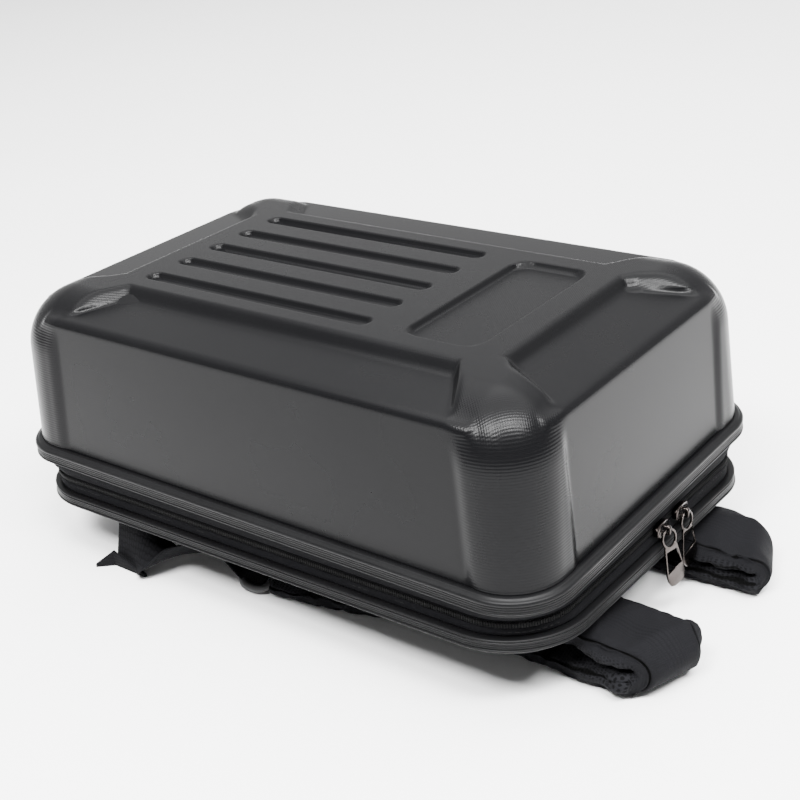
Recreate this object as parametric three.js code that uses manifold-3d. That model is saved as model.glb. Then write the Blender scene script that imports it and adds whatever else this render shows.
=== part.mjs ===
// Hard shell backpack lying on its back, front shell up, on its folded shoulder straps.
// Millimetres, +Z up. +X is the pack's top end, where the two zip sliders meet, -Y its near long side.
// The origin is the centre of the whole model's footprint, on the floor.
import * as THREE from "three";
import { mergeVertices } from "three/addons/utils/BufferGeometryUtils.js";
import Module from "manifold-3d";

const wasm = await Module();
wasm.setup();

// Seating clearance between pieces that touch.
const GAP = 0.3;

// Case outline at the shell's rim.
const CASE_LENGTH = 450;
const CASE_WIDTH = 292;
const RIM_RADIUS = 36;

// Heights over the floor, before the back section leans.
const PANEL_UNDERSIDE = 34;
const PANEL_DEPTH = 17;
const GUSSET_HEIGHT = 19;
const SHELL_DEPTH = 117;

// The back section leans a little on the straps: rise for each millimetre along X and Y.
const LEAN_X = 0.0118;
const LEAN_Y = -0.0345;
const BACK_SHIFT = 1;

// Front shell.
const SHELL_WALL = 3;
const SHELL_DRAFT = 0.05;
const TOP_ROUND = 40;
const COLUMN_RADIUS_TOP = 40;
const FLANGE_HEIGHT = 9;

// Recessed facets around the raised plateau, and the shallow panels in the side walls.
const PLATEAU_MARGIN_X = 60;
const PLATEAU_MARGIN_Y = 59.5;
const PLATEAU_RADIUS = 14;
const STEP_DEPTH = 8;
const STEP_SLOPE = 3;
const FACET_DROP = 5.5;
const FACET_EDGE_ROUND = 9;
const WALL_INSET = 3.5;
const WALL_CORNER_RADIUS = 50;
const WALL_DRAFT = 0.04;

// Corner bumpers: where their edges start on the plateau and end at the wall, from the rim's corner.
const BUMPER_START_X = 82;
const BUMPER_END_X = 48;
const BUMPER_START_Y = 78;
const BUMPER_END_Y = 54;

// Five slots and one rectangle sunk in the plateau.
const SLOT_COUNT = 5;
const SLOT_PITCH = 32.5;
const SLOT_LENGTH = 203;
const SLOT_WIDTH = 13;
const SLOT_CENTRE_X = -43;
const BADGE_LENGTH = 57;
const BADGE_WIDTH = 139;
const BADGE_RADIUS = 14;
const BADGE_CENTRE_X = 114;
const SUNK_DEPTH = 4;

// Trims: channels of ribbed plastic that hold the shell, the gusset and the back panel.
const FRONT_TRIM_HEIGHT = 12.8;
const BACK_TRIM_HEIGHT = 12;
const TRIM_OUT = 4.5;
const BACK_TRIM_OUT = 5.3;
const BEAD_OUT = 6;
const BEAD_HEIGHT = 6;
const TRIM_LIP = 4;
const TRIM_LIP_HEIGHT = 2.7;
const TRIM_BEVEL = 1;
const TRIM_SHOULDER = 1.5;
const BEAD_SHOULDER = 1.5;
const BACK_CORNER_RADIUS = 50;

// Gusset, zip and back panel.
const CLOTH_WALL = 2;
const ZIP_SHARE = 0.375;
const ZIP_INSET = 2;
const ZIP_HEIGHT = 5;
const ZIP_OUT = 2;
const PANEL_WALL = 3;
const PANEL_FLOOR = 4;
const PANEL_EDGE_ROUND = 5;

// Zip sliders and their hanging pulls.
const SLIDER_Y = 3.5;
const SLIDER_SPACING = 26;
const SLIDER_WIDTH = 15;
const SLIDER_HEIGHT = 10;
const SLIDER_THICKNESS = 3.5;
const CROWN_WIDTH = 2.6;
const CROWN_WIRE = 1.3;
const CROWN_CLEAR = 2.1;
const PULL_LENGTH = 43;
const PULL_THICKNESS = 1.8;
const PULL_EYE = 14.5;
const PULL_EYE_HOLE = 10;
const PULL_TOP_WIDTH = 10.4;
const PULL_END_WIDTH = 15;
const PULL_RIM = 1.8;
// Lean away from the case, against the back trim, and turn about the vertical, in radians.
const PULL_POSES = [
  { lean: 0.16, turn: 0 },
  { lean: 0.17, turn: 0.1 },
];

// Padded shoulder straps, folded under the case.
const PAD_WIDTH = 58;
const PAD_THICKNESS = 13;
const PAD_END_WIDTH = 42;
const PAD_CENTRE_Y = 67.5;
const PAD_ANCHOR_LENGTH = 65;
const PAD_FOLD_REACH = 52;
const PAD_FOLD_SKEW = 0.35;
const PAD_FOLD_NARROW = 0.25;
const PAD_END_X = -8;
const FOLD_SETTLE = 2;

// Webbing, ladder-lock buckles and anchor tabs.
const WEB_WIDTH = 36;
const WEB_THICKNESS = 2.4;
const BUCKLE_WIDTH = 46;
const BUCKLE_LENGTH = 34;
const BUCKLE_THICKNESS = 5;
const BUCKLE_BAR = 5;
const BUCKLE_ROLL = 0.5;
const WEB_SETBACK = 81;
const WEB_FOOT_INSET = 2;
const TAB_REACH = 12;
const TAB_OUT = 9;
const TAB_HEIGHT = 13;
const TAB_BASE = 32;
const TAB_THICKNESS = 2.6;

// Faceting.
const CORNER_STEPS = 6;
const ROUND_STEPS = 5;
const FOLD_STEPS = 6;

// Derived places.
const HALF_X = CASE_LENGTH / 2;
const HALF_Y = CASE_WIDTH / 2;
const BACK_TOP = PANEL_UNDERSIDE + PANEL_DEPTH + TRIM_LIP_HEIGHT;
const FRONT_TRIM_BOTTOM = BACK_TOP + GUSSET_HEIGHT;
const FRONT_TRIM_TOP = FRONT_TRIM_BOTTOM + FRONT_TRIM_HEIGHT;
const SHELL_FOOT = FRONT_TRIM_BOTTOM + TRIM_LIP_HEIGHT + GAP;
const SHELL_TOP = FRONT_TRIM_TOP + SHELL_DEPTH;
const PLATEAU_X = HALF_X - PLATEAU_MARGIN_X;
const PLATEAU_Y = HALF_Y - PLATEAU_MARGIN_Y;

// Direction from the pack's top end to its lower end.
const TO_LOWER_END = new THREE.Vector3(-1, 0, 0);

// Height of the leaning back section over its level place.
function lean(x, y) {
  return LEAN_X * x + LEAN_Y * y;
}

// Closed outline of a rounded rectangle, anticlockwise, with the same number of points at any size.
function roundedRect(halfX, halfY, radius, centreX = 0, steps = CORNER_STEPS) {
  const r = Math.min(radius, halfX, halfY);
  const corners = [
    [halfX - r, halfY - r, 0],
    [r - halfX, halfY - r, 1],
    [r - halfX, r - halfY, 2],
    [halfX - r, r - halfY, 3],
  ];
  const points = [];
  for (const [x, y, quarter] of corners) {
    for (let i = 0; i <= steps; i++) {
      const turn = ((quarter + i / steps) * Math.PI) / 2;
      points.push([centreX + x + r * Math.cos(turn), y + r * Math.sin(turn)]);
    }
  }
  return points;
}

// Indexed geometry from rings of equal length: open lofts get end caps, closed ones join up.
function loft(rings, closed = false) {
  const count = rings[0].length;
  const positions = rings.flat().flatMap((p) => [p.x, p.y, p.z]);
  const index = [];
  const last = closed ? rings.length : rings.length - 1;
  for (let k = 0; k < last; k++) {
    const low = k * count;
    const high = ((k + 1) % rings.length) * count;
    for (let i = 0; i < count; i++) {
      const j = (i + 1) % count;
      index.push(low + i, low + j, high + j, low + i, high + j, high + i);
    }
  }
  if (!closed) {
    for (const end of [0, rings.length - 1]) {
      const centre = new THREE.Vector3();
      rings[end].forEach((p) => centre.add(p));
      centre.divideScalar(count);
      const hub = positions.length / 3;
      positions.push(centre.x, centre.y, centre.z);
      for (let i = 0; i < count; i++) {
        const a = end * count + i;
        const b = end * count + ((i + 1) % count);
        index.push(...(end ? [a, b, hub] : [b, a, hub]));
      }
    }
  }
  const geometry = new THREE.BufferGeometry();
  geometry.setAttribute("position", new THREE.Float32BufferAttribute(positions, 3));
  geometry.setIndex(index);
  return geometry;
}

// One level ring of a rounded rectangle; z is a height or a function of x and y.
function levelRing({ x, y, r, shift = 0 }, out, z) {
  const height = typeof z === "function" ? z : () => z;
  return roundedRect(x + out, y + out, Math.max(r + out, 1), shift).map(
    ([px, py]) => new THREE.Vector3(px, py, height(px, py)),
  );
}

// Closed channel around an outline, from a section of rows { out, z, outline }, in order round the section.
function channel(section) {
  return loft(
    section.map((row) => levelRing(row.outline, row.out, row.z)),
    true,
  );
}

// Solid from a geometry, with its shared vertices merged.
function solidOf(geometry) {
  const bare = new THREE.BufferGeometry();
  bare.setAttribute("position", geometry.getAttribute("position"));
  if (geometry.index) bare.setIndex(geometry.index);
  const merged = mergeVertices(bare, 1e-4);
  return new wasm.Manifold(
    new wasm.Mesh({
      numProp: 3,
      vertProperties: merged.attributes.position.array,
      triVerts: new Uint32Array(merged.index.array),
    }),
  );
}

// Geometry from a solid.
function geometryOf(solid) {
  const mesh = solid.getMesh();
  const geometry = new THREE.BufferGeometry();
  geometry.setAttribute("position", new THREE.BufferAttribute(mesh.vertProperties, 3));
  geometry.setIndex(new THREE.BufferAttribute(mesh.triVerts, 1));
  return geometry;
}

// Upright prism over an outline of [x, y] points.
function prism(points, low, high) {
  const rings = [low, high].map((z) => points.map(([x, y]) => new THREE.Vector3(x, y, z)));
  return solidOf(loft(rings));
}

// Upright, slightly tapered block with a rounded rectangle as its outline.
function taperedBlock(outline, low, high, lowOut) {
  return solidOf(loft([levelRing(outline, lowOut, low), levelRing(outline, 0, high)]));
}

// Full rounded box whose corners become the bumpers and columns, shrunk all round by the inset.
function bumperBox(inset, foot) {
  const top = SHELL_TOP - inset;
  const round = TOP_ROUND - inset;
  const shoulder = top - round;
  const rings = [];
  const ringAt = (z, tuck) => {
    const rise = Math.max(z - FRONT_TRIM_TOP, 0);
    const share = rise / SHELL_DEPTH;
    const r = RIM_RADIUS + (COLUMN_RADIUS_TOP - RIM_RADIUS) * share - inset;
    const out = -inset - SHELL_DRAFT * rise - tuck;
    const outline = { x: HALF_X, y: HALF_Y, r: r - out };
    rings.push(levelRing(outline, out, z));
  };
  ringAt(foot, 0);
  ringAt(FRONT_TRIM_TOP, 0);
  for (let i = 0; i <= ROUND_STEPS; i++) {
    const turn = ((i / ROUND_STEPS) * Math.PI) / 2;
    ringAt(shoulder + round * Math.sin(turn), round * (1 - Math.cos(turn)));
  }
  return solidOf(loft(rings));
}

// Lower body between the columns: inset walls, a rounded edge and the sloping facets on top.
function facetBox(inset, foot) {
  const facetHigh = SHELL_TOP - STEP_DEPTH - inset;
  const facetLow = facetHigh - FACET_DROP;
  const round = FACET_EDGE_ROUND - inset;
  const outline = { x: HALF_X - WALL_INSET, y: HALF_Y - WALL_INSET, r: WALL_CORNER_RADIUS };
  const wallAt = (z) => -inset - WALL_DRAFT * (z - FRONT_TRIM_TOP);
  const shoulder = facetLow - round;
  const rings = [levelRing(outline, wallAt(FRONT_TRIM_TOP), foot)];
  for (let i = 0; i <= 3; i++) {
    const turn = ((i / 3) * Math.PI) / 2;
    const tuck = round * (1 - Math.cos(turn));
    rings.push(levelRing(outline, wallAt(shoulder) - tuck, shoulder + round * Math.sin(turn)));
  }
  const crown = { x: PLATEAU_X, y: PLATEAU_Y, r: PLATEAU_RADIUS };
  rings.push(levelRing(crown, STEP_SLOPE - inset, facetHigh));
  return solidOf(loft(rings));
}

// Plan of one corner bumper, its edges moved inward by the inset; signs choose the corner.
function bumperPlan(signX, signY, inset) {
  const far = CASE_WIDTH;
  const plan = [
    [PLATEAU_X - BUMPER_START_X, inset],
    [HALF_X - BUMPER_START_X + inset, PLATEAU_Y],
    [HALF_X - BUMPER_END_X + inset, HALF_Y - TRIM_OUT],
    [HALF_X - BUMPER_END_X + inset, far],
    [far * 2, far],
    [far * 2, HALF_Y - BUMPER_END_Y + inset],
    [HALF_X - TRIM_OUT, HALF_Y - BUMPER_END_Y + inset],
    [PLATEAU_X, HALF_Y - BUMPER_START_Y + inset],
  ].map(([x, y]) => [signX * x, signY * y]);
  return signX * signY > 0 ? plan.reverse() : plan;
}

// Everything that fills the shell's outline at an inset: zero gives the outside, the wall the hollow.
function shellForm(inset) {
  const foot = SHELL_FOOT - (inset ? SHELL_WALL : 0);
  const plateau = { x: PLATEAU_X - inset, y: PLATEAU_Y - inset, r: PLATEAU_RADIUS };
  const low = SHELL_TOP - STEP_DEPTH - FACET_DROP * 2;
  let raised = taperedBlock(plateau, low, SHELL_TOP + 1, STEP_SLOPE * 2);
  for (const signX of [-1, 1]) {
    for (const signY of [-1, 1]) {
      raised = raised.add(prism(bumperPlan(signX, signY, inset), foot - 1, SHELL_TOP + 1));
    }
  }
  const flange = { x: HALF_X, y: HALF_Y, r: RIM_RADIUS };
  raised = raised.add(taperedBlock(flange, foot - 1, SHELL_FOOT + FLANGE_HEIGHT - inset, 0));
  return facetBox(inset, foot).add(bumperBox(inset, foot).intersect(raised));
}

// The slots and the rectangle as cutters, grown all round by the wall for the hollow's side.
function sunkCutter(grow) {
  const floor = SHELL_TOP - SUNK_DEPTH - grow;
  const cut = (halfX, halfY, r, centreX, centreY) => {
    const plan = roundedRect(halfX + grow, halfY + grow, r + grow, centreX, 4);
    return prism(
      plan.map(([x, y]) => [x, y + centreY]),
      floor,
      SHELL_TOP + 1,
    );
  };
  let cutter = cut(BADGE_LENGTH / 2, BADGE_WIDTH / 2, BADGE_RADIUS, BADGE_CENTRE_X, 0);
  for (let i = 0; i < SLOT_COUNT; i++) {
    const y = (i - (SLOT_COUNT - 1) / 2) * SLOT_PITCH;
    cutter = cutter.add(cut(SLOT_LENGTH / 2, SLOT_WIDTH / 2, SLOT_WIDTH / 2, SLOT_CENTRE_X, y));
  }
  return cutter;
}

function frontShell() {
  const outside = shellForm(0).subtract(sunkCutter(0));
  const hollow = shellForm(SHELL_WALL).subtract(sunkCutter(SHELL_WALL));
  return geometryOf(outside.subtract(hollow));
}

// Outlines that the rings follow.
const rimOutline = { x: HALF_X, y: HALF_Y, r: RIM_RADIUS };
const backOutline = {
  x: HALF_X - BACK_SHIFT / 2,
  y: HALF_Y - BACK_SHIFT,
  r: BACK_CORNER_RADIUS,
  shift: BACK_SHIFT,
};
const leaning = (z) => (x, y) => z + lean(x, y);
const zipLine = (offset) => (x, y) =>
  (BACK_TOP + lean(x, y)) * (1 - ZIP_SHARE) + FRONT_TRIM_BOTTOM * ZIP_SHARE + offset;
const zipOutline = {
  x: rimOutline.x * ZIP_SHARE + backOutline.x * (1 - ZIP_SHARE) - ZIP_INSET,
  y: rimOutline.y * ZIP_SHARE + backOutline.y * (1 - ZIP_SHARE) - ZIP_INSET,
  r: rimOutline.r * ZIP_SHARE + backOutline.r * (1 - ZIP_SHARE),
  shift: backOutline.shift * (1 - ZIP_SHARE),
};

// Rows of a section, turned into a channel round one outline.
function trimChannel(outline, rows, place) {
  return channel(rows.map(([out, z]) => ({ outline, out, z: place(z) })));
}

function frontTrim() {
  const bead = FRONT_TRIM_HEIGHT - BEAD_HEIGHT;
  const rows = [
    [GAP, FRONT_TRIM_HEIGHT],
    [GAP, TRIM_LIP_HEIGHT],
    [-TRIM_LIP, TRIM_LIP_HEIGHT],
    [-TRIM_LIP, 0],
    [TRIM_OUT - TRIM_BEVEL, 0],
    [TRIM_OUT, TRIM_SHOULDER],
    [TRIM_OUT, bead - TRIM_BEVEL],
    [BEAD_OUT, bead + TRIM_BEVEL],
    [BEAD_OUT, FRONT_TRIM_HEIGHT - BEAD_SHOULDER],
    [TRIM_OUT, FRONT_TRIM_HEIGHT],
  ];
  return trimChannel(rimOutline, rows, (z) => FRONT_TRIM_BOTTOM + z);
}

function backTrim() {
  const rows = [
    [BACK_TRIM_OUT - TRIM_BEVEL, 0],
    [-TRIM_LIP, 0],
    [-TRIM_LIP, -TRIM_LIP_HEIGHT],
    [GAP, -TRIM_LIP_HEIGHT],
    [GAP, -BACK_TRIM_HEIGHT],
    [BACK_TRIM_OUT - TRIM_BEVEL, -BACK_TRIM_HEIGHT],
    [BACK_TRIM_OUT, TRIM_SHOULDER - BACK_TRIM_HEIGHT],
    [BACK_TRIM_OUT, -TRIM_SHOULDER],
  ];
  return trimChannel(backOutline, rows, (z) => leaning(BACK_TOP + z));
}

// A band of cloth wall between an upper and a lower edge.
function clothBand(upper, lower) {
  return channel([
    { outline: upper.outline, out: 0, z: upper.z },
    { outline: upper.outline, out: -CLOTH_WALL, z: upper.z },
    { outline: lower.outline, out: -CLOTH_WALL, z: lower.z },
    { outline: lower.outline, out: 0, z: lower.z },
  ]);
}

function gussetFront() {
  return clothBand(
    { outline: rimOutline, z: FRONT_TRIM_BOTTOM - GAP },
    { outline: zipOutline, z: zipLine(ZIP_HEIGHT / 2 + GAP) },
  );
}

function gussetBack() {
  return clothBand(
    { outline: zipOutline, z: zipLine(-ZIP_HEIGHT / 2 - GAP) },
    { outline: backOutline, z: leaning(BACK_TOP + GAP) },
  );
}

function zipChain() {
  const rows = [
    [0, ZIP_HEIGHT / 2],
    [-CLOTH_WALL, ZIP_HEIGHT / 2],
    [-CLOTH_WALL, -ZIP_HEIGHT / 2],
    [0, -ZIP_HEIGHT / 2],
    [ZIP_OUT, -ZIP_HEIGHT / 4],
    [ZIP_OUT, ZIP_HEIGHT / 4],
  ];
  return trimChannel(zipOutline, rows, (z) => zipLine(z));
}

// Shallow pan: outer skin with a rounded lower edge, and the hollow above its floor.
function backPanel() {
  const under = PANEL_UNDERSIDE;
  const top = under + PANEL_DEPTH - GAP;
  const edge = PANEL_EDGE_ROUND;
  const diagonal = edge * (1 - Math.SQRT1_2);
  const skin = loft([
    levelRing(backOutline, -edge, leaning(under)),
    levelRing(backOutline, -diagonal, leaning(under + diagonal)),
    levelRing(backOutline, 0, leaning(under + edge)),
    levelRing(backOutline, 0, leaning(top)),
  ]);
  const hollow = loft([
    levelRing(backOutline, -PANEL_WALL - edge / 2, leaning(under + PANEL_FLOOR)),
    levelRing(backOutline, -PANEL_WALL, leaning(under + PANEL_FLOOR + edge)),
    levelRing(backOutline, -PANEL_WALL, leaning(top + PANEL_WALL)),
  ]);
  return geometryOf(solidOf(skin).subtract(solidOf(hollow)));
}

// Extruded plate in the Y-Z plane, its thickness centred on x = 0.
function facePlate(shape, thickness, steps = 8) {
  const geometry = new THREE.ExtrudeGeometry(shape, {
    depth: thickness,
    bevelEnabled: false,
    curveSegments: steps,
  });
  geometry.translate(0, 0, -thickness / 2);
  geometry.rotateX(Math.PI / 2);
  geometry.rotateZ(Math.PI / 2);
  return geometry;
}

// Slider: a waisted plate on the zip with the crown, a small arch that the pull's eye hangs on.
function zipSlider() {
  const w = SLIDER_WIDTH / 2;
  const h = SLIDER_HEIGHT / 2;
  const body = new THREE.Shape();
  body.moveTo(-w, -h * 0.55);
  body.lineTo(-w * 0.6, -h);
  body.lineTo(w * 0.6, -h);
  body.lineTo(w, -h * 0.55);
  body.lineTo(w, h * 0.7);
  body.lineTo(w * 0.45, h);
  body.lineTo(-w * 0.45, h);
  body.lineTo(-w, h * 0.7);
  body.closePath();
  const plate = facePlate(body, SLIDER_THICKNESS);
  plate.translate(-CROWN_CLEAR - SLIDER_THICKNESS / 2, 0, 0);
  const reach = CROWN_CLEAR + CROWN_WIRE;
  const arch = new THREE.Shape();
  arch.moveTo(-CROWN_CLEAR - 1, -reach);
  arch.lineTo(CROWN_CLEAR, -reach);
  arch.lineTo(reach, -CROWN_CLEAR);
  arch.lineTo(reach, CROWN_CLEAR);
  arch.lineTo(CROWN_CLEAR, reach);
  arch.lineTo(-CROWN_CLEAR - 1, reach);
  arch.lineTo(-CROWN_CLEAR - 1, CROWN_CLEAR);
  arch.lineTo(CROWN_CLEAR, CROWN_CLEAR);
  arch.lineTo(CROWN_CLEAR, -CROWN_CLEAR);
  arch.lineTo(-CROWN_CLEAR - 1, -CROWN_CLEAR);
  arch.closePath();
  const crown = new THREE.ExtrudeGeometry(arch, { depth: CROWN_WIDTH, bevelEnabled: false });
  crown.translate(0, 0, -CROWN_WIDTH / 2);
  crown.rotateX(Math.PI / 2);
  return geometryOf(solidOf(plate).add(solidOf(crown)));
}

// Pull hanging from its eye at the origin: eye, tapering frame with a window, slanted solid end.
function zipPull() {
  const wire = (PULL_EYE - PULL_EYE_HOLE) / 2;
  const eyeY = wire / 2 - PULL_EYE / 2;
  const neck = eyeY - PULL_EYE * 0.42;
  const end = wire / 2 - PULL_LENGTH;
  const slant = PULL_END_WIDTH * 0.35;
  const halfTop = PULL_TOP_WIDTH / 2;
  const halfEnd = PULL_END_WIDTH / 2;
  const shape = new THREE.Shape();
  const open = Math.asin(halfTop / (PULL_EYE / 2));
  shape.absarc(0, eyeY, PULL_EYE / 2, open - Math.PI / 2, -Math.PI / 2 - open, false);
  shape.lineTo(-halfTop, neck);
  shape.lineTo(-halfEnd, end + slant * 1.6);
  shape.lineTo(-halfEnd * 0.55, end);
  shape.lineTo(halfEnd * 0.35, end);
  shape.lineTo(halfEnd, end + slant);
  shape.lineTo(halfTop, neck);
  shape.closePath();
  const hole = new THREE.Path();
  hole.absarc(0, eyeY, PULL_EYE_HOLE / 2, 0, Math.PI * 2, true);
  shape.holes.push(hole);
  const windowTop = neck - PULL_RIM * 2;
  const windowEnd = windowTop - PULL_LENGTH * 0.36;
  const spread = (halfEnd - halfTop) * 0.7;
  const window = new THREE.Path();
  window.moveTo(-halfTop + PULL_RIM, windowTop);
  window.lineTo(halfTop - PULL_RIM, windowTop);
  window.lineTo(halfTop + spread - PULL_RIM, windowEnd + PULL_RIM);
  window.lineTo(-halfTop - spread + PULL_RIM, windowEnd);
  window.closePath();
  shape.holes.push(window);
  return facePlate(shape, PULL_THICKNESS, 5);
}

// Ribbon of a rounded flat section through stations { at, across, width, thick }; its ends are cut
// square to the strap's run, given for an end that meets a neighbour.
function ribbon(stations, round = 0.45) {
  const sectionSteps = 12;
  const rings = stations.map((station, i) => {
    const before = stations[Math.max(i - 1, 0)].at;
    const after = stations[Math.min(i + 1, stations.length - 1)].at;
    const along = station.run ?? new THREE.Vector3().subVectors(after, before).normalize();
    const across = station.across.clone().normalize();
    const normal = new THREE.Vector3().crossVectors(along, across).normalize();
    const ring = [];
    for (let k = 0; k < sectionSteps; k++) {
      const turn = ((k + 0.5) / sectionSteps) * 2 * Math.PI;
      const c = Math.cos(turn);
      const s = Math.sin(turn);
      const u = (Math.sign(c) * Math.abs(c) ** round * station.width) / 2;
      const v = (Math.sign(s) * Math.abs(s) ** round * station.thick) / 2;
      ring.push(station.at.clone().addScaledVector(across, u).addScaledVector(normal, v));
    }
    return ring;
  });
  return loft(rings);
}

// Cross direction and half height of a strap rolled about its run, its outer edge down.
function rolled(side, angle, width, thick) {
  const across = new THREE.Vector3(0, Math.cos(angle), -side * Math.sin(angle));
  const reach = (Math.abs(Math.sin(angle)) * width + Math.cos(angle) * thick) / 2;
  return { across, reach };
}

// Shoulder pad: sewn under the panel's top end, folded out past it and back along the floor.
function padStations(side) {
  const y0 = side * PAD_CENTRE_Y;
  const anchorX = HALF_X - PAD_ANCHOR_LENGTH;
  const foldX = HALF_X + PAD_FOLD_REACH - PAD_THICKNESS;
  const half = PAD_THICKNESS / 2;
  const under = (x, y) => PANEL_UNDERSIDE + lean(x, y) - GAP - half;
  const leanAcross = new THREE.Vector3(0, 1, LEAN_Y);
  const foldTop = under(HALF_X, y0) - FOLD_SETTLE;
  const radius = (foldTop - half) / 2;
  const stations = [];
  for (const share of [0, 0.5, 1]) {
    const x = anchorX + share * (HALF_X - PANEL_EDGE_ROUND - anchorX);
    const at = new THREE.Vector3(x, y0, under(x, y0));
    stations.push({ at, across: leanAcross, width: PAD_WIDTH, thick: PAD_THICKNESS });
  }
  for (let i = 0; i <= FOLD_STEPS; i++) {
    const turn = (i / FOLD_STEPS) * Math.PI;
    const bulge = Math.sin(turn);
    const x = foldX - radius + radius * bulge;
    const z = half + radius + radius * Math.cos(turn);
    const at = new THREE.Vector3(x, y0, z);
    const across = new THREE.Vector3(-side * PAD_FOLD_SKEW, 1, 0);
    const width = PAD_WIDTH * (1 - PAD_FOLD_NARROW * bulge);
    stations.push({ at, across, width, thick: PAD_THICKNESS });
  }
  // Lower leg: shares of the way back, of the pad's width as outward drift, of its narrowing and roll.
  const lowerLeg = [
    { back: 0.26, drift: -0.03, narrow: 0.0, roll: 0.0 },
    { back: 0.47, drift: -0.03, narrow: 0.0, roll: 0.0 },
    { back: 0.69, drift: 0.18, narrow: 0.12, roll: 0.1 },
    { back: 0.81, drift: 0.37, narrow: 0.3, roll: 0.3 },
    { back: 0.9, drift: 0.53, narrow: 0.65, roll: 0.7 },
    { back: 1.0, drift: 0.62, narrow: 1.0, roll: 1.0 },
  ];
  const legStart = foldX - radius;
  for (const { back, drift, narrow, roll } of lowerLeg) {
    const width = PAD_WIDTH + narrow * (PAD_END_WIDTH - PAD_WIDTH);
    const { across, reach } = rolled(side, roll * BUCKLE_ROLL, width, PAD_THICKNESS);
    const x = legStart + back * (PAD_END_X - legStart);
    const at = new THREE.Vector3(x, y0 + side * drift * PAD_WIDTH, reach);
    stations.push({ at, across, width, thick: PAD_THICKNESS });
  }
  stations.at(-1).run = TO_LOWER_END;
  return stations;
}

// Place of the buckle's centre, from the pad's far end.
function buckleCentre(side) {
  const end = padStations(side).at(-1).at;
  const { reach } = rolled(side, BUCKLE_ROLL, BUCKLE_WIDTH, BUCKLE_THICKNESS);
  return new THREE.Vector3(end.x - BUCKLE_LENGTH / 2 - GAP, end.y, reach);
}

// Ladder-lock buckle: a rounded plate with three raised bars; the webbing fills what lies between.
function ladderLock() {
  const halfL = BUCKLE_LENGTH / 2;
  const halfW = BUCKLE_WIDTH / 2;
  const half = BUCKLE_THICKNESS / 2;
  const outline = roundedRect(halfL, halfW, halfL * 0.7, 0, 4);
  let lock = prism(outline, -half, half);
  const grooveHalf = (BUCKLE_LENGTH - 3 * BUCKLE_BAR) / 4;
  for (const place of [-1, 1]) {
    const centre = place * (grooveHalf + BUCKLE_BAR / 2);
    const groove = roundedRect(grooveHalf, WEB_WIDTH / 2, 1, centre, 1);
    lock = lock.subtract(prism(groove, half - WEB_THICKNESS / 2, half + 1));
    lock = lock.subtract(prism(groove, -half - 1, WEB_THICKNESS / 2 - half));
  }
  return geometryOf(lock);
}

// Webbing from the buckle: it lies flat, twists over and ends on edge under the panel's lower corner.
function webStations(side) {
  const start = buckleCentre(side);
  const from = start.x - BUCKLE_LENGTH / 2 - GAP;
  const endX = -HALF_X + WEB_SETBACK;
  const foot = HALF_Y - WEB_FOOT_INSET;
  const rise = PANEL_UNDERSIDE + lean(endX, side * foot) - GAP;
  const steepest = Math.asin(Math.min((rise - WEB_THICKNESS) / WEB_WIDTH, 1));
  const endY = side * (foot - (Math.cos(steepest) * WEB_WIDTH) / 2);
  // Shares: of the way, of the outward move, of the free height, of the buckle's roll, of the end's twist.
  const route = [
    { way: 0.0, out: 0.0, lift: 0.08, roll: 1.0, twist: 0.0 },
    { way: 0.15, out: -0.05, lift: 0.22, roll: 0.2, twist: 0.0 },
    { way: 0.3, out: -0.05, lift: 0.33, roll: -0.25, twist: 0.0 },
    { way: 0.41, out: 0.17, lift: 0.45, roll: -0.6, twist: 0.0 },
    { way: 0.5, out: 0.55, lift: 0.45, roll: 0.0, twist: 0.4 },
    { way: 0.6, out: 0.95, lift: 0.3, roll: 0.0, twist: 0.9 },
    { way: 0.7, out: 1.0, lift: 0.3, roll: 0.0, twist: 1.0 },
    { way: 1.0, out: 1.0, lift: 1.0, roll: 0.0, twist: 1.0 },
  ];
  const stations = route.map(({ way, out, lift, roll, twist }) => {
    const { across, reach } = rolled(
      side,
      roll * BUCKLE_ROLL + twist * steepest,
      WEB_WIDTH,
      WEB_THICKNESS,
    );
    const x = from + way * (endX - from);
    const y = start.y + out * (endY - start.y);
    const at = new THREE.Vector3(x, y, reach + lift * (rise - 2 * reach));
    return { at, across, width: WEB_WIDTH, thick: WEB_THICKNESS };
  });
  stations[0].run = TO_LOWER_END;
  return stations;
}

// Anchor tab: a triangle of doubled cloth outside the webbing's foot, its point past the webbing's end.
function anchorTab(side) {
  const endX = -HALF_X + WEB_SETBACK;
  const y = side * (HALF_Y - WEB_FOOT_INSET + WEB_THICKNESS / 4 + GAP + TAB_THICKNESS / 2);
  const across = new THREE.Vector3(0, 0, -side);
  const point = TAB_THICKNESS / 2;
  const rows = [
    { x: endX + TAB_BASE, out: 0, width: TAB_THICKNESS },
    { x: endX, out: 0, width: TAB_HEIGHT },
    { x: endX - TAB_REACH, out: TAB_OUT, width: TAB_THICKNESS },
  ];
  return rows.map(({ x, out, width }) => ({
    at: new THREE.Vector3(x, y + side * out, Math.max(width / 2, point)),
    across,
    width,
    thick: TAB_THICKNESS,
  }));
}

const colours = {
  shell: [0x26262a, 0.42],
  trim: [0x2c2c2f, 0.5],
  cloth: [0x151517, 0.9],
  panel: [0x1b1b1e, 0.85],
  pad: [0x17171a, 0.92],
  webbing: [0x1d1d1f, 0.85],
  buckle: [0x3c3c3f, 0.5],
  metal: [0x9a928a, 0.28],
};

function material(slot) {
  const [color, roughness] = colours[slot];
  return new THREE.MeshStandardMaterial({ color, roughness, metalness: slot === "metal" ? 1 : 0 });
}

function addMesh(group, name, geometry, slot) {
  const mesh = new THREE.Mesh(geometry, material(slot));
  mesh.name = name;
  group.add(mesh);
  return mesh;
}

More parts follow.
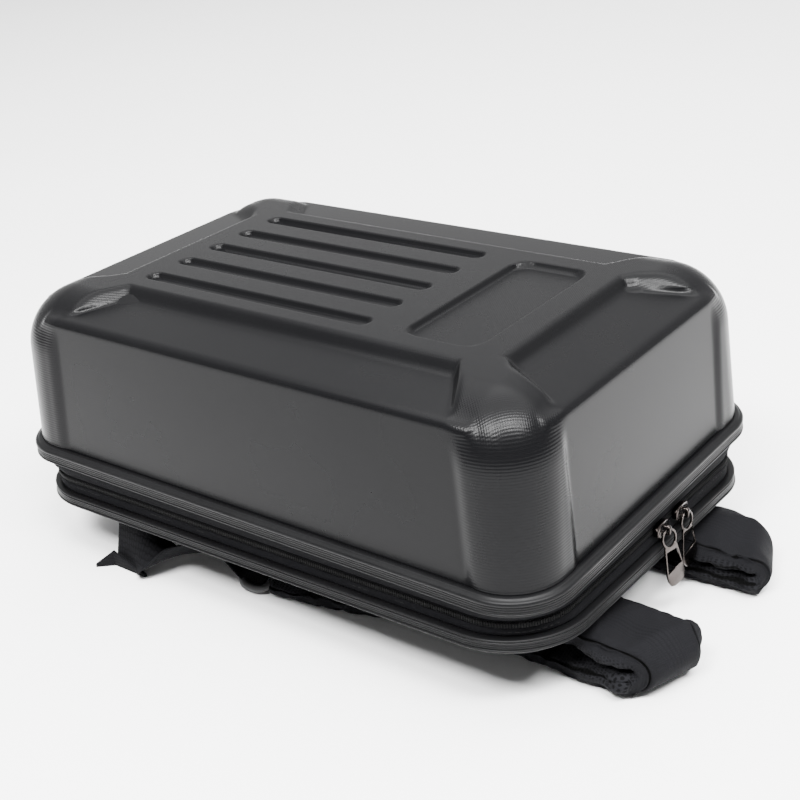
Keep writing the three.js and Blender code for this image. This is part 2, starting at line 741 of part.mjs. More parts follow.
const pack = new THREE.Group();
const body = new THREE.Group();
pack.add(body);
addMesh(body, "front_shell", frontShell(), "shell");
addMesh(body, "front_trim", frontTrim(), "trim");
addMesh(body, "gusset_front", gussetFront(), "cloth");
addMesh(body, "zip_chain", zipChain(), "cloth");
addMesh(body, "gusset_back", gussetBack(), "cloth");
addMesh(body, "back_trim", backTrim(), "trim");
addMesh(body, "back_panel", backPanel(), "panel");

// Sliders on the zip at the top end, each pull hanging in its slider's crown.
const zipFace = zipOutline.x + zipOutline.shift + ZIP_OUT + GAP;
PULL_POSES.forEach((pose, i) => {
  const x = zipFace + SLIDER_THICKNESS + CROWN_CLEAR;
  const y = SLIDER_Y + i * SLIDER_SPACING;
  const place = new THREE.Vector3(x, y, zipLine(0)(x, y));
  const slider = addMesh(body, `zip_slider_${i + 1}`, zipSlider(), "metal");
  slider.position.copy(place);
  const swing = new THREE.Group();
  swing.position.copy(place);
  swing.rotation.z = pose.turn;
  body.add(swing);
  const pull = addMesh(swing, `zip_pull_${i + 1}`, zipPull(), "metal");
  pull.rotation.y = -pose.lean;
});

for (const side of [-1, 1]) {
  const name = side < 0 ? "near" : "far";
  addMesh(body, `shoulder_pad_${name}`, ribbon(padStations(side)), "pad");
  const buckle = addMesh(body, `ladder_lock_${name}`, ladderLock(), "buckle");
  buckle.position.copy(buckleCentre(side));
  buckle.rotation.x = -side * BUCKLE_ROLL;
  addMesh(body, `webbing_${name}`, ribbon(webStations(side)), "webbing");
  addMesh(body, `anchor_tab_${name}`, ribbon(anchorTab(side)), "webbing");
}

// The whole model is centred over the origin, its lowest point on the floor.
const box = new THREE.Box3().setFromObject(pack, true);
body.position.set(-(box.min.x + box.max.x) / 2, -(box.min.y + box.max.y) / 2, -box.min.z);

export default pack;
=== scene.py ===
# Hard shell backpack: the looks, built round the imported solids. Row frame, metres.
# Sizes below are in millimetres in the case's own frame: centred on the shell, floor at z = 0.
import math

import bmesh
import bpy
import numpy as np
from mathutils import Matrix, Vector, noise


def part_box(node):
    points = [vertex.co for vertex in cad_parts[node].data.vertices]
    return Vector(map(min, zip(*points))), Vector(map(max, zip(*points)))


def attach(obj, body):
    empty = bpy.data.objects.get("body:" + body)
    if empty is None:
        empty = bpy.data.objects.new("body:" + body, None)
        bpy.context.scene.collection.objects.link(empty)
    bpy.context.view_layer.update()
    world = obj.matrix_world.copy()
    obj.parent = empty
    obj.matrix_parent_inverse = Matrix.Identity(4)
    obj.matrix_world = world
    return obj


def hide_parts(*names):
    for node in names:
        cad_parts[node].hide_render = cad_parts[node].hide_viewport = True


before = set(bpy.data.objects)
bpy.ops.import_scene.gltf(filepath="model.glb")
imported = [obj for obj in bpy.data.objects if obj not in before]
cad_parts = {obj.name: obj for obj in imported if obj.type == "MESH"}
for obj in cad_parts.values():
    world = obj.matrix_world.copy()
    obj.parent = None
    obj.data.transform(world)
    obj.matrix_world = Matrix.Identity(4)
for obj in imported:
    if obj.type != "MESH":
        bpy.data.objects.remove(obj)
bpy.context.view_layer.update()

MM = 0.001
MERGE = 1e-6
shell_low, shell_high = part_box("front_shell")
CASE_CENTRE_X = (shell_low.x + shell_high.x) / 2 / MM
CASE_CENTRE_Y = (shell_low.y + shell_high.y) / 2 / MM

# Case, as in the solids.
HALF_X = 225.0
HALF_Y = 146.0
RIM_RADIUS = 36.0
PANEL_UNDERSIDE = 34.0
BACK_TOP = 49.8
TRIM_BOTTOM = 77.8
RIM_Z = 88.6
TOP_Z = 202.5
SHELL_FOOT = 75.7
LEAN_X = 0.0118
LEAN_Y = -0.0345
BACK_HALF_X = 224.5
BACK_HALF_Y = 145.0
BACK_RADIUS = 50.0
BACK_SHIFT = 1.0
GAP = 0.3


def lean(x, y):
    """Rise of the leaning back section over its level place."""
    return LEAN_X * x + LEAN_Y * y


def in_row(points):
    """Case-frame millimetres to row-frame metres."""
    moved = np.asarray(points, float) + np.array([CASE_CENTRE_X, CASE_CENTRE_Y, 0.0])
    return moved * MM


def link(obj):
    """Puts an object in the scene."""
    bpy.context.scene.collection.objects.link(obj)
    return obj


def shade_smooth(mesh):
    """Shades every face smooth."""
    mesh.polygons.foreach_set("use_smooth", [True] * len(mesh.polygons))


def turn_outwards(mesh, merge=0.0):
    """Turns every face outwards, after merging points nearer than merge, in metres."""
    work = bmesh.new()
    work.from_mesh(mesh)
    if merge:
        bmesh.ops.remove_doubles(work, verts=work.verts, dist=merge)
    bmesh.ops.recalc_face_normals(work, faces=work.faces)
    work.to_mesh(mesh)
    work.free()
    shade_smooth(mesh)


def mesh_piece(name, points, faces, uvs=None, merge=0.0):
    """A mesh object from case-frame points, with its own UVs in millimetres where they are given."""
    mesh = bpy.data.meshes.new(name)
    mesh.from_pydata([tuple(p) for p in in_row(points)], [], [tuple(f) for f in faces])
    if uvs is not None:
        mesh.uv_layers.new(name="fabric").data.foreach_set("uv", np.array(uvs).ravel())
    turn_outwards(mesh, merge)
    return link(bpy.data.objects.new(name, mesh))


def evaluated_mesh(obj):
    """The object's mesh with its modifiers applied, as plain data."""
    return bpy.data.meshes.new_from_object(obj.evaluated_get(bpy.context.evaluated_depsgraph_get()))


def read_vectors(mesh, kind):
    """Rows of three numbers per point: kind is co for places or normal for directions."""
    flat = np.zeros(len(mesh.vertices) * 3, np.float32)
    mesh.vertices.foreach_get(kind, flat)
    return flat.reshape(-1, 3).astype(float)


def set_points(mesh, points):
    """Moves the mesh to new places, in metres."""
    mesh.vertices.foreach_set("co", np.asarray(points, np.float32).ravel())
    mesh.update()


def mark(mesh, name, value):
    """Writes one number per point, for a material to read."""
    layer = mesh.attributes.get(name) or mesh.attributes.new(name, "FLOAT", "POINT")
    layer.data.foreach_set("value", np.asarray(value, np.float32))


def read_mark(mesh, name):
    """Reads back one number per point."""
    value = np.zeros(len(mesh.vertices), np.float32)
    mesh.attributes[name].data.foreach_get("value", value)
    return value.astype(float)


def flat_uv(mesh):
    """Millimetre UVs by each face's main direction."""
    layer = mesh.uv_layers.get("fabric") or mesh.uv_layers.new(name="fabric")
    for face in mesh.polygons:
        n = face.normal
        drop = max(range(3), key=lambda axis: abs(n[axis]))
        keep = [axis for axis in range(3) if axis != drop]
        for corner in face.loop_indices:
            co = mesh.vertices[mesh.loops[corner].vertex_index].co
            layer.data[corner].uv = (co[keep[0]] / MM, co[keep[1]] / MM)


def dress(obj, material, body="root", stands_for=()):
    """Gives a piece its material and slot, parents it to the body it rides on and hides the solids it
    stands for.
    """
    obj.data.materials.clear()
    obj.data.materials.append(material)
    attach(obj, body)
    if stands_for:
        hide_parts(*stands_for)
    return obj


# Materials.


class Tree:
    """Short-hand for building a node tree."""

    def __init__(self, tree):
        self.tree = tree

    def node(self, kind, **settings):
        made = self.tree.nodes.new(kind)
        for key, value in settings.items():
            setattr(made, key, value)
        return made

    def feed(self, socket, source):
        if isinstance(source, bpy.types.NodeSocket):
            self.tree.links.new(source, socket)
        else:
            socket.default_value = source

    def math(self, operation, *values):
        made = self.node("ShaderNodeMath", operation=operation)
        for socket, value in zip(made.inputs, values):
            self.feed(socket, value)
        return made.outputs[0]

    def ramp(self, value, low, high, out_low=0.0, out_high=1.0):
        made = self.node("ShaderNodeMapRange", interpolation_type="SMOOTHSTEP")
        for socket, source in zip(made.inputs[:5], (value, low, high, out_low, out_high)):
            self.feed(socket, source)
        return made.outputs[0]

    def noise(self, vector, scale, detail=3.0, rough=0.5):
        made = self.node("ShaderNodeTexNoise")
        self.feed(made.inputs["Vector"], vector)
        made.inputs["Scale"].default_value = scale
        made.inputs["Detail"].default_value = detail
        made.inputs["Roughness"].default_value = rough
        return made.outputs["Fac"]

    def mix(self, share, first, second):
        made = self.node("ShaderNodeMix", data_type="RGBA")
        self.feed(made.inputs["Factor"], share)
        self.feed(made.inputs["A"], first)
        self.feed(made.inputs["B"], second)
        return made.outputs["Result"]


def new_group(name, inputs, outputs):
    """A shader node group with named float, colour and vector sockets."""
    tree = bpy.data.node_groups.new(name, "ShaderNodeTree")
    for label, kind, value in inputs:
        socket = tree.interface.new_socket(label, in_out="INPUT", socket_type=kind)
        if value is not None:
            socket.default_value = value
    for label, kind in outputs:
        tree.interface.new_socket(label, in_out="OUTPUT", socket_type=kind)
    made = Tree(tree)
    return made, made.node("NodeGroupInput"), made.node("NodeGroupOutput")


FLOAT = "NodeSocketFloat"
VECTOR = "NodeSocketVector"


def make_moulded_lines():
    """Fine lines of the moulded sheet: level rows on the walls, crossed lines on the top."""
    t, source, sink = new_group(
        "moulded_lines",
        [
            ("Vector", VECTOR, None),
            ("Row pitch", FLOAT, 0.0019),
            ("Cross pitch", FLOAT, 0.0019),
            ("Crossed", FLOAT, 1.0),
        ],
        [("Height", FLOAT)],
    )
    split = t.node("ShaderNodeSeparateXYZ")
    t.feed(split.inputs[0], source.outputs["Vector"])
    row_turn = t.math("DIVIDE", 2 * math.pi, source.outputs["Row pitch"])
    cross_turn = t.math("DIVIDE", 2 * math.pi, source.outputs["Cross pitch"])
    rows = t.math("SINE", t.math("MULTIPLY", split.outputs["Z"], row_turn))
    along = t.math("ADD", split.outputs["X"], split.outputs["Y"])
    across = t.math("SUBTRACT", split.outputs["X"], split.outputs["Y"])
    first = t.math("SINE", t.math("MULTIPLY", along, cross_turn))
    second = t.math("SINE", t.math("MULTIPLY", across, cross_turn))
    both = t.math("MULTIPLY", t.math("ADD", first, second), 0.6)
    share = source.outputs["Crossed"]
    plain = t.math("MULTIPLY", rows, t.math("SUBTRACT", 1.0, share))
    t.feed(sink.inputs["Height"], t.math("ADD", t.math("MULTIPLY", both, share), plain))
    return t.tree


def make_wear():
    """Uneven handling marks: a soft mask from two sizes of noise."""
    t, source, sink = new_group(
        "handling_marks",
        [("Vector", VECTOR, None), ("Coarse", FLOAT, 9.0), ("Fine", FLOAT, 70.0)],
        [("Mask", FLOAT)],
    )
    made = []
    for label, detail in (("Coarse", 3.0), ("Fine", 5.0)):
        cloud = t.node("ShaderNodeTexNoise")
        t.feed(cloud.inputs["Vector"], source.outputs["Vector"])
        t.feed(cloud.inputs["Scale"], source.outputs[label])
        cloud.inputs["Detail"].default_value = detail
        made.append(cloud.outputs["Fac"])
    both = t.math("ADD", t.math("MULTIPLY", made[0], 0.65), t.math("MULTIPLY", made[1], 0.35))
    t.feed(sink.inputs["Mask"], t.ramp(both, 0.2, 0.8))
    return t.tree


def make_weave():
    """Plain weave on a UV map in millimetres: height of the threads, and a painted shade that is dark in
    the gaps between threads and light on their crowns.
    """
    t, source, sink = new_group(
        "woven_threads",
        [("UV", VECTOR, None), ("Pitch", FLOAT, 0.9), ("Ratio", FLOAT, 1.0)],
        [("Height", FLOAT), ("Shade", FLOAT)],
    )
    split = t.node("ShaderNodeSeparateXYZ")
    t.feed(split.inputs[0], source.outputs["UV"])
    turn = t.math("DIVIDE", math.pi, source.outputs["Pitch"])
    u = t.math("MULTIPLY", split.outputs["X"], turn)
    v = t.math("MULTIPLY", t.math("MULTIPLY", split.outputs["Y"], turn), source.outputs["Ratio"])
    warp = t.math("ABSOLUTE", t.math("SINE", u))
    weft = t.math("ABSOLUTE", t.math("SINE", v))
    over = t.math("MULTIPLY", t.math("SINE", u), t.math("SINE", v))
    lift = t.ramp(over, -0.4, 0.4)
    height = t.math(
        "ADD",
        t.math("MULTIPLY", warp, lift),
        t.math("MULTIPLY", weft, t.math("SUBTRACT", 1.0, lift)),
    )
    t.feed(sink.inputs["Height"], height)
    # Painted shade: the colour share follows the thread height, dark in the gaps and light on the crowns.
    t.feed(sink.inputs["Shade"], t.ramp(height, 0.1, 0.9))
    return t.tree


MOULDED_LINES = make_moulded_lines()
HANDLING = make_wear()
WEAVE = make_weave()


def material(name):
    """A new material, its tree and its shader."""
    made = bpy.data.materials.new(name)
    made.use_nodes = True
    t = Tree(made.node_tree)
    shader = made.node_tree.nodes["Principled BSDF"]
    return made, t, shader


def placed(t, group, **inputs):
    """One use of a shared group, its sockets set by name."""
    made = t.node("ShaderNodeGroup", node_tree=group)
    for label, value in inputs.items():
        t.feed(made.inputs[label.replace("_", " ")], value)
    return made


def object_coords(t):
    """Coordinates that stay with the piece, in metres."""
    return t.node("ShaderNodeTexCoord").outputs["Object"]


def uv_coords(t):
    """The fabric map, in millimetres."""
    return t.node("ShaderNodeUVMap", uv_map="fabric").outputs["UV"]


def bump(t, shader, height, distance, strength=1.0):
    """Feeds a height to the shader as bump."""
    made = t.node("ShaderNodeBump")
    t.feed(made.inputs["Height"], height)
    made.inputs["Distance"].default_value = distance
    made.inputs["Strength"].default_value = strength
    t.feed(shader.inputs["Normal"], made.outputs["Normal"])
    return made


def shell_material():
    """Glossy black moulded sheet with fine lines."""
    made, t, shader = material("shell_plastic")
    spot = object_coords(t)
    marks = placed(t, HANDLING, Vector=spot, Coarse=6.0, Fine=26.0).outputs["Mask"]
    tone = t.mix(marks, (0.0023, 0.0023, 0.0026, 1), (0.0029, 0.0029, 0.0032, 1))
    t.feed(shader.inputs["Base Color"], tone)
    t.feed(shader.inputs["Roughness"], t.ramp(marks, 0.0, 1.0, 0.265, 0.28))
    shader.inputs["Specular IOR Level"].default_value = 0.07
    crossed = t.node("ShaderNodeAttribute", attribute_name="crossed").outputs["Fac"]
    lined = t.node("ShaderNodeAttribute", attribute_name="lined").outputs["Fac"]
    lines = placed(t, MOULDED_LINES, Vector=spot, Crossed=crossed).outputs["Height"]
    fine = t.math("MULTIPLY", t.noise(spot, 260.0, 2.0), 0.15)
    bump(t, shader, t.math("ADD", t.math("MULTIPLY", lines, lined), fine), 0.00003)
    return made


def trim_material():
    """Smooth black plastic of the two trims."""
    made, t, shader = material("trim_plastic")
    spot = object_coords(t)
    marks = placed(t, HANDLING, Vector=spot, Coarse=14.0, Fine=160.0).outputs["Mask"]
    tone = t.mix(marks, (0.0026, 0.0026, 0.0028, 1), (0.0042, 0.0042, 0.0045, 1))
    t.feed(shader.inputs["Base Color"], tone)
    t.feed(shader.inputs["Roughness"], t.ramp(marks, 0.0, 1.0, 0.34, 0.46))
    shader.inputs["Specular IOR Level"].default_value = 0.08
    bump(t, shader, t.noise(spot, 500.0, 2.0), 0.000006)
    return made


def cloth_material(name, dark, light, pitch, rough=0.85, sheen=0.004, depth=0.00009, ratio=1.0):
    """Woven black cloth, a little worn, with painted shade in the gaps between its threads."""
    made, t, shader = material(name)
    weave = placed(t, WEAVE, UV=uv_coords(t), Pitch=pitch, Ratio=ratio)
    spot = object_coords(t)
    marks = placed(t, HANDLING, Vector=spot, Coarse=22.0, Fine=240.0).outputs["Mask"]
    # Painted shade: dark is the colour in the shaded gaps between threads, light the colour on their
    # crowns.
    thread = t.mix(weave.outputs["Shade"], dark, light)
    worn = t.mix(t.math("MULTIPLY", marks, 0.35), thread, tuple(c * 1.5 for c in light[:3]) + (1,))
    t.feed(shader.inputs["Base Color"], worn)
    t.feed(shader.inputs["Roughness"], t.ramp(marks, 0.0, 1.0, rough - 0.08, rough))
    shader.inputs["Sheen Weight"].default_value = sheen
    shader.inputs["Sheen Roughness"].default_value = 0.4
    shader.inputs["Specular IOR Level"].default_value = 0.04
    fuzz = t.noise(spot, 1500.0, 2.0)
    bump(t, shader, t.math("ADD", weave.outputs["Height"], t.math("MULTIPLY", fuzz, 0.4)), depth)
    return made


def make_air_mesh():
    """Knitted air mesh: rows of round holes on a UV map in millimetres."""
    t, source, sink = new_group(
        "air_mesh",
        [("UV", VECTOR, None), ("Pitch", FLOAT, 2.4)],
        [("Hole", FLOAT)],
    )
    split = t.node("ShaderNodeSeparateXYZ")
    t.feed(split.inputs[0], source.outputs["UV"])
    u = t.math("DIVIDE", split.outputs["X"], source.outputs["Pitch"])
    v = t.math("DIVIDE", split.outputs["Y"], source.outputs["Pitch"])
    row = t.math("FLOOR", v)
    shifted = t.math("ADD", u, t.math("MULTIPLY", row, 0.5))
    near_u = t.math("SUBTRACT", t.math("FRACT", shifted), 0.5)
    near_v = t.math("SUBTRACT", t.math("FRACT", v), 0.5)
    square = t.math("ADD", t.math("MULTIPLY", near_u, near_u), t.math("MULTIPLY", near_v, near_v))
    t.feed(sink.inputs["Hole"], t.ramp(t.math("SQRT", square), 0.34, 0.22))
    return t.tree


def pad_material():
    """Woven cloth on the outer face with painted shade between its threads, air mesh inside with painted
    shade in its holes, a dark sewn line between.
    """
    made, t, shader = material("pad_cloth")
    weave = placed(t, WEAVE, UV=uv_coords(t), Pitch=1.0)
    hole = placed(t, AIR_MESH, UV=uv_coords(t), Pitch=2.6).outputs["Hole"]
    inner = t.ramp(t.node("ShaderNodeAttribute", attribute_name="face").outputs["Fac"], -0.1, -0.5)
    seam = t.ramp(t.node("ShaderNodeAttribute", attribute_name="seam").outputs["Fac"], 0.15, 0.6)
    spot = object_coords(t)
    marks = placed(t, HANDLING, Vector=spot, Coarse=26.0, Fine=300.0).outputs["Mask"]
    # Painted shade: the woven face is darker in the gaps between threads.
    woven = t.mix(weave.outputs["Shade"], (0.0012, 0.0012, 0.0014, 1), (0.0042, 0.0042, 0.005, 1))
    # Painted shade: the sunken air mesh holes are painted near black.
    knitted = t.mix(hole, (0.0055, 0.0055, 0.0065, 1), (0.0004, 0.0004, 0.0005, 1))
    rubbed = t.math("MULTIPLY", marks, 0.35)
    cloth = t.mix(rubbed, t.mix(inner, woven, knitted), (0.0075, 0.0075, 0.0085, 1))
    t.feed(shader.inputs["Base Color"], t.mix(seam, cloth, (0.0003, 0.0003, 0.0003, 1)))
    t.feed(shader.inputs["Roughness"], t.ramp(marks, 0.0, 1.0, 0.72, 0.85))
    shader.inputs["Sheen Weight"].default_value = 0.004
    shader.inputs["Specular IOR Level"].default_value = 0.04
    threads = t.math("MULTIPLY", weave.outputs["Height"], t.math("SUBTRACT", 1.0, inner))
    holes = t.math("MULTIPLY", t.math("MULTIPLY", hole, inner), -4.0)
    creases = t.math("MULTIPLY", t.noise(spot, 160.0, 4.0), 3.0)
    bump(t, shader, t.math("ADD", t.math("ADD", threads, holes), creases), 0.00015)
    return made


def metal_material():
    """Dark polished metal of the sliders and pulls."""
    made, t, shader = material("gunmetal")
    spot = object_coords(t)
    marks = placed(t, HANDLING, Vector=spot, Coarse=90.0, Fine=900.0).outputs["Mask"]
    t.feed(shader.inputs["Base Color"], t.mix(marks, (0.035, 0.03, 0.028, 1), (0.06, 0.053, 0.05, 1)))
    shader.inputs["Metallic"].default_value = 1.0
    t.feed(shader.inputs["Roughness"], t.ramp(marks, 0.0, 1.0, 0.13, 0.24))
    bump(t, shader, t.noise(spot, 700.0, 3.0), 0.00001)
    return made


def coil_material(name, tone, rough):
    """Plain fine plastic or thread."""
    made, t, shader = material(name)
    spot = object_coords(t)
    marks = placed(t, HANDLING, Vector=spot, Coarse=60.0, Fine=700.0).outputs["Mask"]
    dark, light = (tone * 0.7,) * 3 + (1,), (tone * 1.2,) * 3 + (1,)
    t.feed(shader.inputs["Base Color"], t.mix(marks, dark, light))
    t.feed(shader.inputs["Roughness"], t.ramp(marks, 0.0, 1.0, rough, rough + 0.1))
    shader.inputs["Specular IOR Level"].default_value = 0.05
    bump(t, shader, t.noise(spot, 2500.0, 2.0), 0.00002)
    return made


def buckle_material():
    """Matt moulded plastic of the buckles."""
    made, t, shader = material("buckle_plastic")
    spot = object_coords(t)
    marks = placed(t, HANDLING, Vector=spot, Coarse=40.0, Fine=500.0).outputs["Mask"]
    t.feed(shader.inputs["Base Color"], t.mix(marks, (0.008, 0.008, 0.0085, 1), (0.014, 0.014, 0.015, 1)))
    t.feed(shader.inputs["Roughness"], t.ramp(marks, 0.0, 1.0, 0.42, 0.55))
    bump(t, shader, t.noise(spot, 1600.0, 2.0), 0.00002)
    return made


SHELL = shell_material()
TRIM = trim_material()
# The first colour of each cloth is painted shade in the gaps between threads, the second the threads' tone
# on their crowns.
GUSSET = cloth_material("gusset_cloth", (0.001, 0.001, 0.0012, 1), (0.003, 0.003, 0.0036, 1), 1.1)
TAPE = cloth_material("zip_tape", (0.001, 0.001, 0.0012, 1), (0.0036, 0.0036, 0.0042, 1), 0.8, ratio=1.8)
PANEL = cloth_material("panel_cloth", (0.0012, 0.0012, 0.0014, 1), (0.004, 0.004, 0.0045, 1), 1.2)
AIR_MESH = make_air_mesh()
PAD = pad_material()
# Webbing: painted shade in the gaps between threads, and the tone on the threads' crowns.
WEBBING_GAP_SHADE = (0.0014, 0.0014, 0.0016, 1)
WEBBING_CROWN_TONE = (0.0048, 0.0048, 0.0055, 1)
WEBBING = cloth_material("webbing_cloth", WEBBING_GAP_SHADE, WEBBING_CROWN_TONE, 1.3, ratio=0.55, depth=0.00025)
METAL = metal_material()
TEETH = coil_material("zip_teeth_plastic", 0.005, 0.45)
THREAD = coil_material("sewing_thread", 0.012, 0.75)
BUCKLE = buckle_material()


# Camera, floor and light.


CAMERA_SPOT = (580.923, -674.173, 536.138)
CAMERA_RIGHT = (0.79421877, 0.60121215, -0.08809363)
CAMERA_UP = (-0.2021428, 0.39814469, 0.89477321)
CAMERA_BACK = (0.57302254, -0.69283819, 0.4377447)
LENS = 61.37
TOWARDS_CAMERA = (0.64, -0.77, 0.0)
GLOW_BEHIND_CASE = 1.35
GLOW_BEHIND_CAMERA = 0.22
FLOOR_REACH = 9000


def place_camera():
    """The camera at the photograph's angle, from above the near end corner."""
    data = bpy.data.cameras.new("camera")
    data.sensor_width = 36.0
    data.lens = LENS
    data.clip_start = 0.01
    data.clip_end = 50.0
    camera = link(bpy.data.objects.new("camera", data))
    axes = (Vector(CAMERA_RIGHT), Vector(CAMERA_UP), Vector(CAMERA_BACK))
    turned = Matrix(axes).transposed().to_4x4()
    spot = in_row([CAMERA_SPOT])[0]
    camera.matrix_world = Matrix.Translation(Vector(spot)) @ turned
    bpy.context.scene.camera = camera


def area_light(name, spot, aim, size, power):
    """A softbox at a spot, turned to its aim."""
    data = bpy.data.lights.new(name, "AREA")
    data.shape = "RECTANGLE"
    data.size, data.size_y = size
    data.energy = power
    lamp = link(bpy.data.objects.new(name, data))
    lamp.location = spot
    lamp.rotation_euler = (Vector(aim) - Vector(spot)).to_track_quat("-Z", "Y").to_euler()


def studio():
    """A pale floor, softboxes in front of the case and a broad light over it, dim behind the camera."""
    reach = FLOOR_REACH
    corners = [(-reach, -reach, 0), (reach, -reach, 0), (reach, reach, 0), (-reach, reach, 0)]
    floor = mesh_piece("floor", corners, [(0, 1, 2, 3)], merge=MERGE)
    made, t, shader = material("pale_floor")
    speckle = t.noise(object_coords(t), 3.0, 2.0)
    t.feed(shader.inputs["Base Color"], t.mix(speckle, (0.86, 0.86, 0.86, 1), (0.9, 0.9, 0.9, 1)))
    shader.inputs["Roughness"].default_value = 0.9
    shader.inputs["Specular IOR Level"].default_value = 0.1
    floor.data.materials.append(made)
    world = bpy.data.worlds.new("studio")
    bpy.context.scene.world = world
    world.use_nodes = True
    world.node_tree.nodes["Background"].inputs["Color"].default_value = (1, 1, 1, 1)
    t = Tree(world.node_tree)
    facing = t.node("ShaderNodeVectorMath", operation="DOT_PRODUCT")
    t.feed(facing.inputs[0], t.node("ShaderNodeTexCoord").outputs["Generated"])
    facing.inputs[1].default_value = TOWARDS_CAMERA
    glow = t.ramp(facing.outputs["Value"], -0.25, 0.55, GLOW_BEHIND_CASE, GLOW_BEHIND_CAMERA)
    t.feed(world.node_tree.nodes["Background"].inputs["Strength"], glow)
    area_light("overhead", (0.2, 0.5, 3.0), (0.2, 0.5, 0), (4.4, 4.4), 400.0)
    area_light("softbox_left", (0.24, -1.36, 2.0), (0, 0, 0.15), (0.9, 0.5), 150.0)
    area_light("key_softbox", (1.15, -0.8, 2.6), (0.1, 0, 0.15), (0.8, 0.4), 150.0)
    area_light("softbox_right", (1.46, -0.1, 1.92), (0, 0, 0.15), (0.7, 0.5), 75.0)


# Front shell.


def round_max(a, b, radius):
    """Intersection of two fields with a quarter-round edge."""
    far = np.hypot(np.maximum(a + radius, 0), np.maximum(b + radius, 0)) - radius
    return far + np.minimum(np.maximum(a, b) + radius, 0)


def smooth_max(a, b, reach):
    """Intersection of two fields with a soft edge."""
    blend = np.maximum(reach - np.abs(a - b), 0) / reach
    return np.maximum(a, b) + blend * blend * reach / 4


def smooth_min(a, b, reach):
    """Union of two fields with a soft edge."""
    return -smooth_max(-a, -b, reach)


def plan_distance(x, y, half_x, half_y, radius):
    """Distance outside a rounded rectangle in plan, negative inside."""
    qx = np.abs(x) - half_x + radius
    qy = np.abs(y) - half_y + radius
    outside = np.hypot(np.maximum(qx, 0), np.maximum(qy, 0))
    return outside + np.minimum(np.maximum(qx, qy), 0) - radius


# Plateau, bumpers and facets of the moulding.
PLATEAU_HALF_X = 165.5
PLATEAU_HALF_Y = 86
PLATEAU_RADIUS = 14
BUMPER_START_X = 143.8
BUMPER_FLARE = 0.65
BUMPER_FLARE_Y = 86.5
BUMPER_EDGE_X = (165, 173, 220)
BUMPER_EDGE_Y = (70, 78, 104)
COLUMN_SPREAD = 5
FACET_DROP = 8.0
FACET_EDGE = 5.0
FACET_CREST_X = 168
FACET_CREST_Y = 90
FACET_FALL_NEAR = 0.086
FACET_FALL_FAR = 0.05
FACET_FALL_HEAD = 0.131
FACET_FALL_FOOT = 0.07
WALL_INSET = 1.9
WALL_DRAFT = 0.055
TOP_ROUND = 40.0
FLANGE_TOP = 87.7

# How far a step grows in plan for each millimetre down.
STEP_SLOPE = 0.85
STEEP_STEP = 0.45
SHALLOW_STEP = 0.95
SUNK_SLOPE = 0.45

# Slots and rectangle sunk in the plateau.
SUNK_DEPTH = 4.0
SLOTS = 5
SLOT_CENTRE_X = -43.0
SLOT_HALF = 101.5
SLOT_PITCH = 32.5
SLOT_RADIUS = 6.5
RECTANGLE_CENTRE_X = 114.0
RECTANGLE_HALF_X = 28.5
RECTANGLE_HALF_Y = 69.5
RECTANGLE_RADIUS = 14


def raised_region(x, y, z):
    """Plan of the plateau and the four bumpers, growing a little down the step. Negative inside."""
    ax, ay = np.abs(x), np.abs(y)
    down = np.maximum(TOP_Z - z, 0)
    low = np.clip((down - 12) / 105, 0, 1)
    step = np.minimum(down, FACET_DROP)
    side_edge = BUMPER_START_X + BUMPER_FLARE * np.maximum(ay - BUMPER_FLARE_Y, 0)
    end_edge = np.interp(ax, BUMPER_EDGE_X, BUMPER_EDGE_Y)
    side_slope = np.where(x > 0, STEEP_STEP, SHALLOW_STEP)
    from_side = (side_edge + COLUMN_SPREAD * low - ax) * 0.853 - side_slope * step
    from_end = (end_edge - ay) * 0.91 - STEP_SLOPE * step
    bumper = smooth_max(from_side, from_end, 2.0)
    at_end = ax - PLATEAU_HALF_X > ay - PLATEAU_HALF_Y
    slope = np.where(at_end, STEEP_STEP, STEP_SLOPE)
    plateau = plan_distance(x, y, PLATEAU_HALF_X, PLATEAU_HALF_Y, PLATEAU_RADIUS) - slope * step
    return smooth_min(plateau, bumper, 2.0)


def sunk_shapes(x, y, z):
    """The five slots and the rectangle, negative inside."""
    down = TOP_Z - z
    from_centre = x - RECTANGLE_CENTRE_X
    plan = plan_distance(from_centre, y, RECTANGLE_HALF_X, RECTANGLE_HALF_Y, RECTANGLE_RADIUS)
    for i in range(SLOTS):
        centre_y = (i - SLOTS // 2) * SLOT_PITCH
        slot = plan_distance(x - SLOT_CENTRE_X, y - centre_y, SLOT_HALF, SLOT_RADIUS, SLOT_RADIUS)
        plan = np.minimum(plan, slot)
    return smooth_max(plan + SUNK_SLOPE * down, down - SUNK_DEPTH, 1.6)


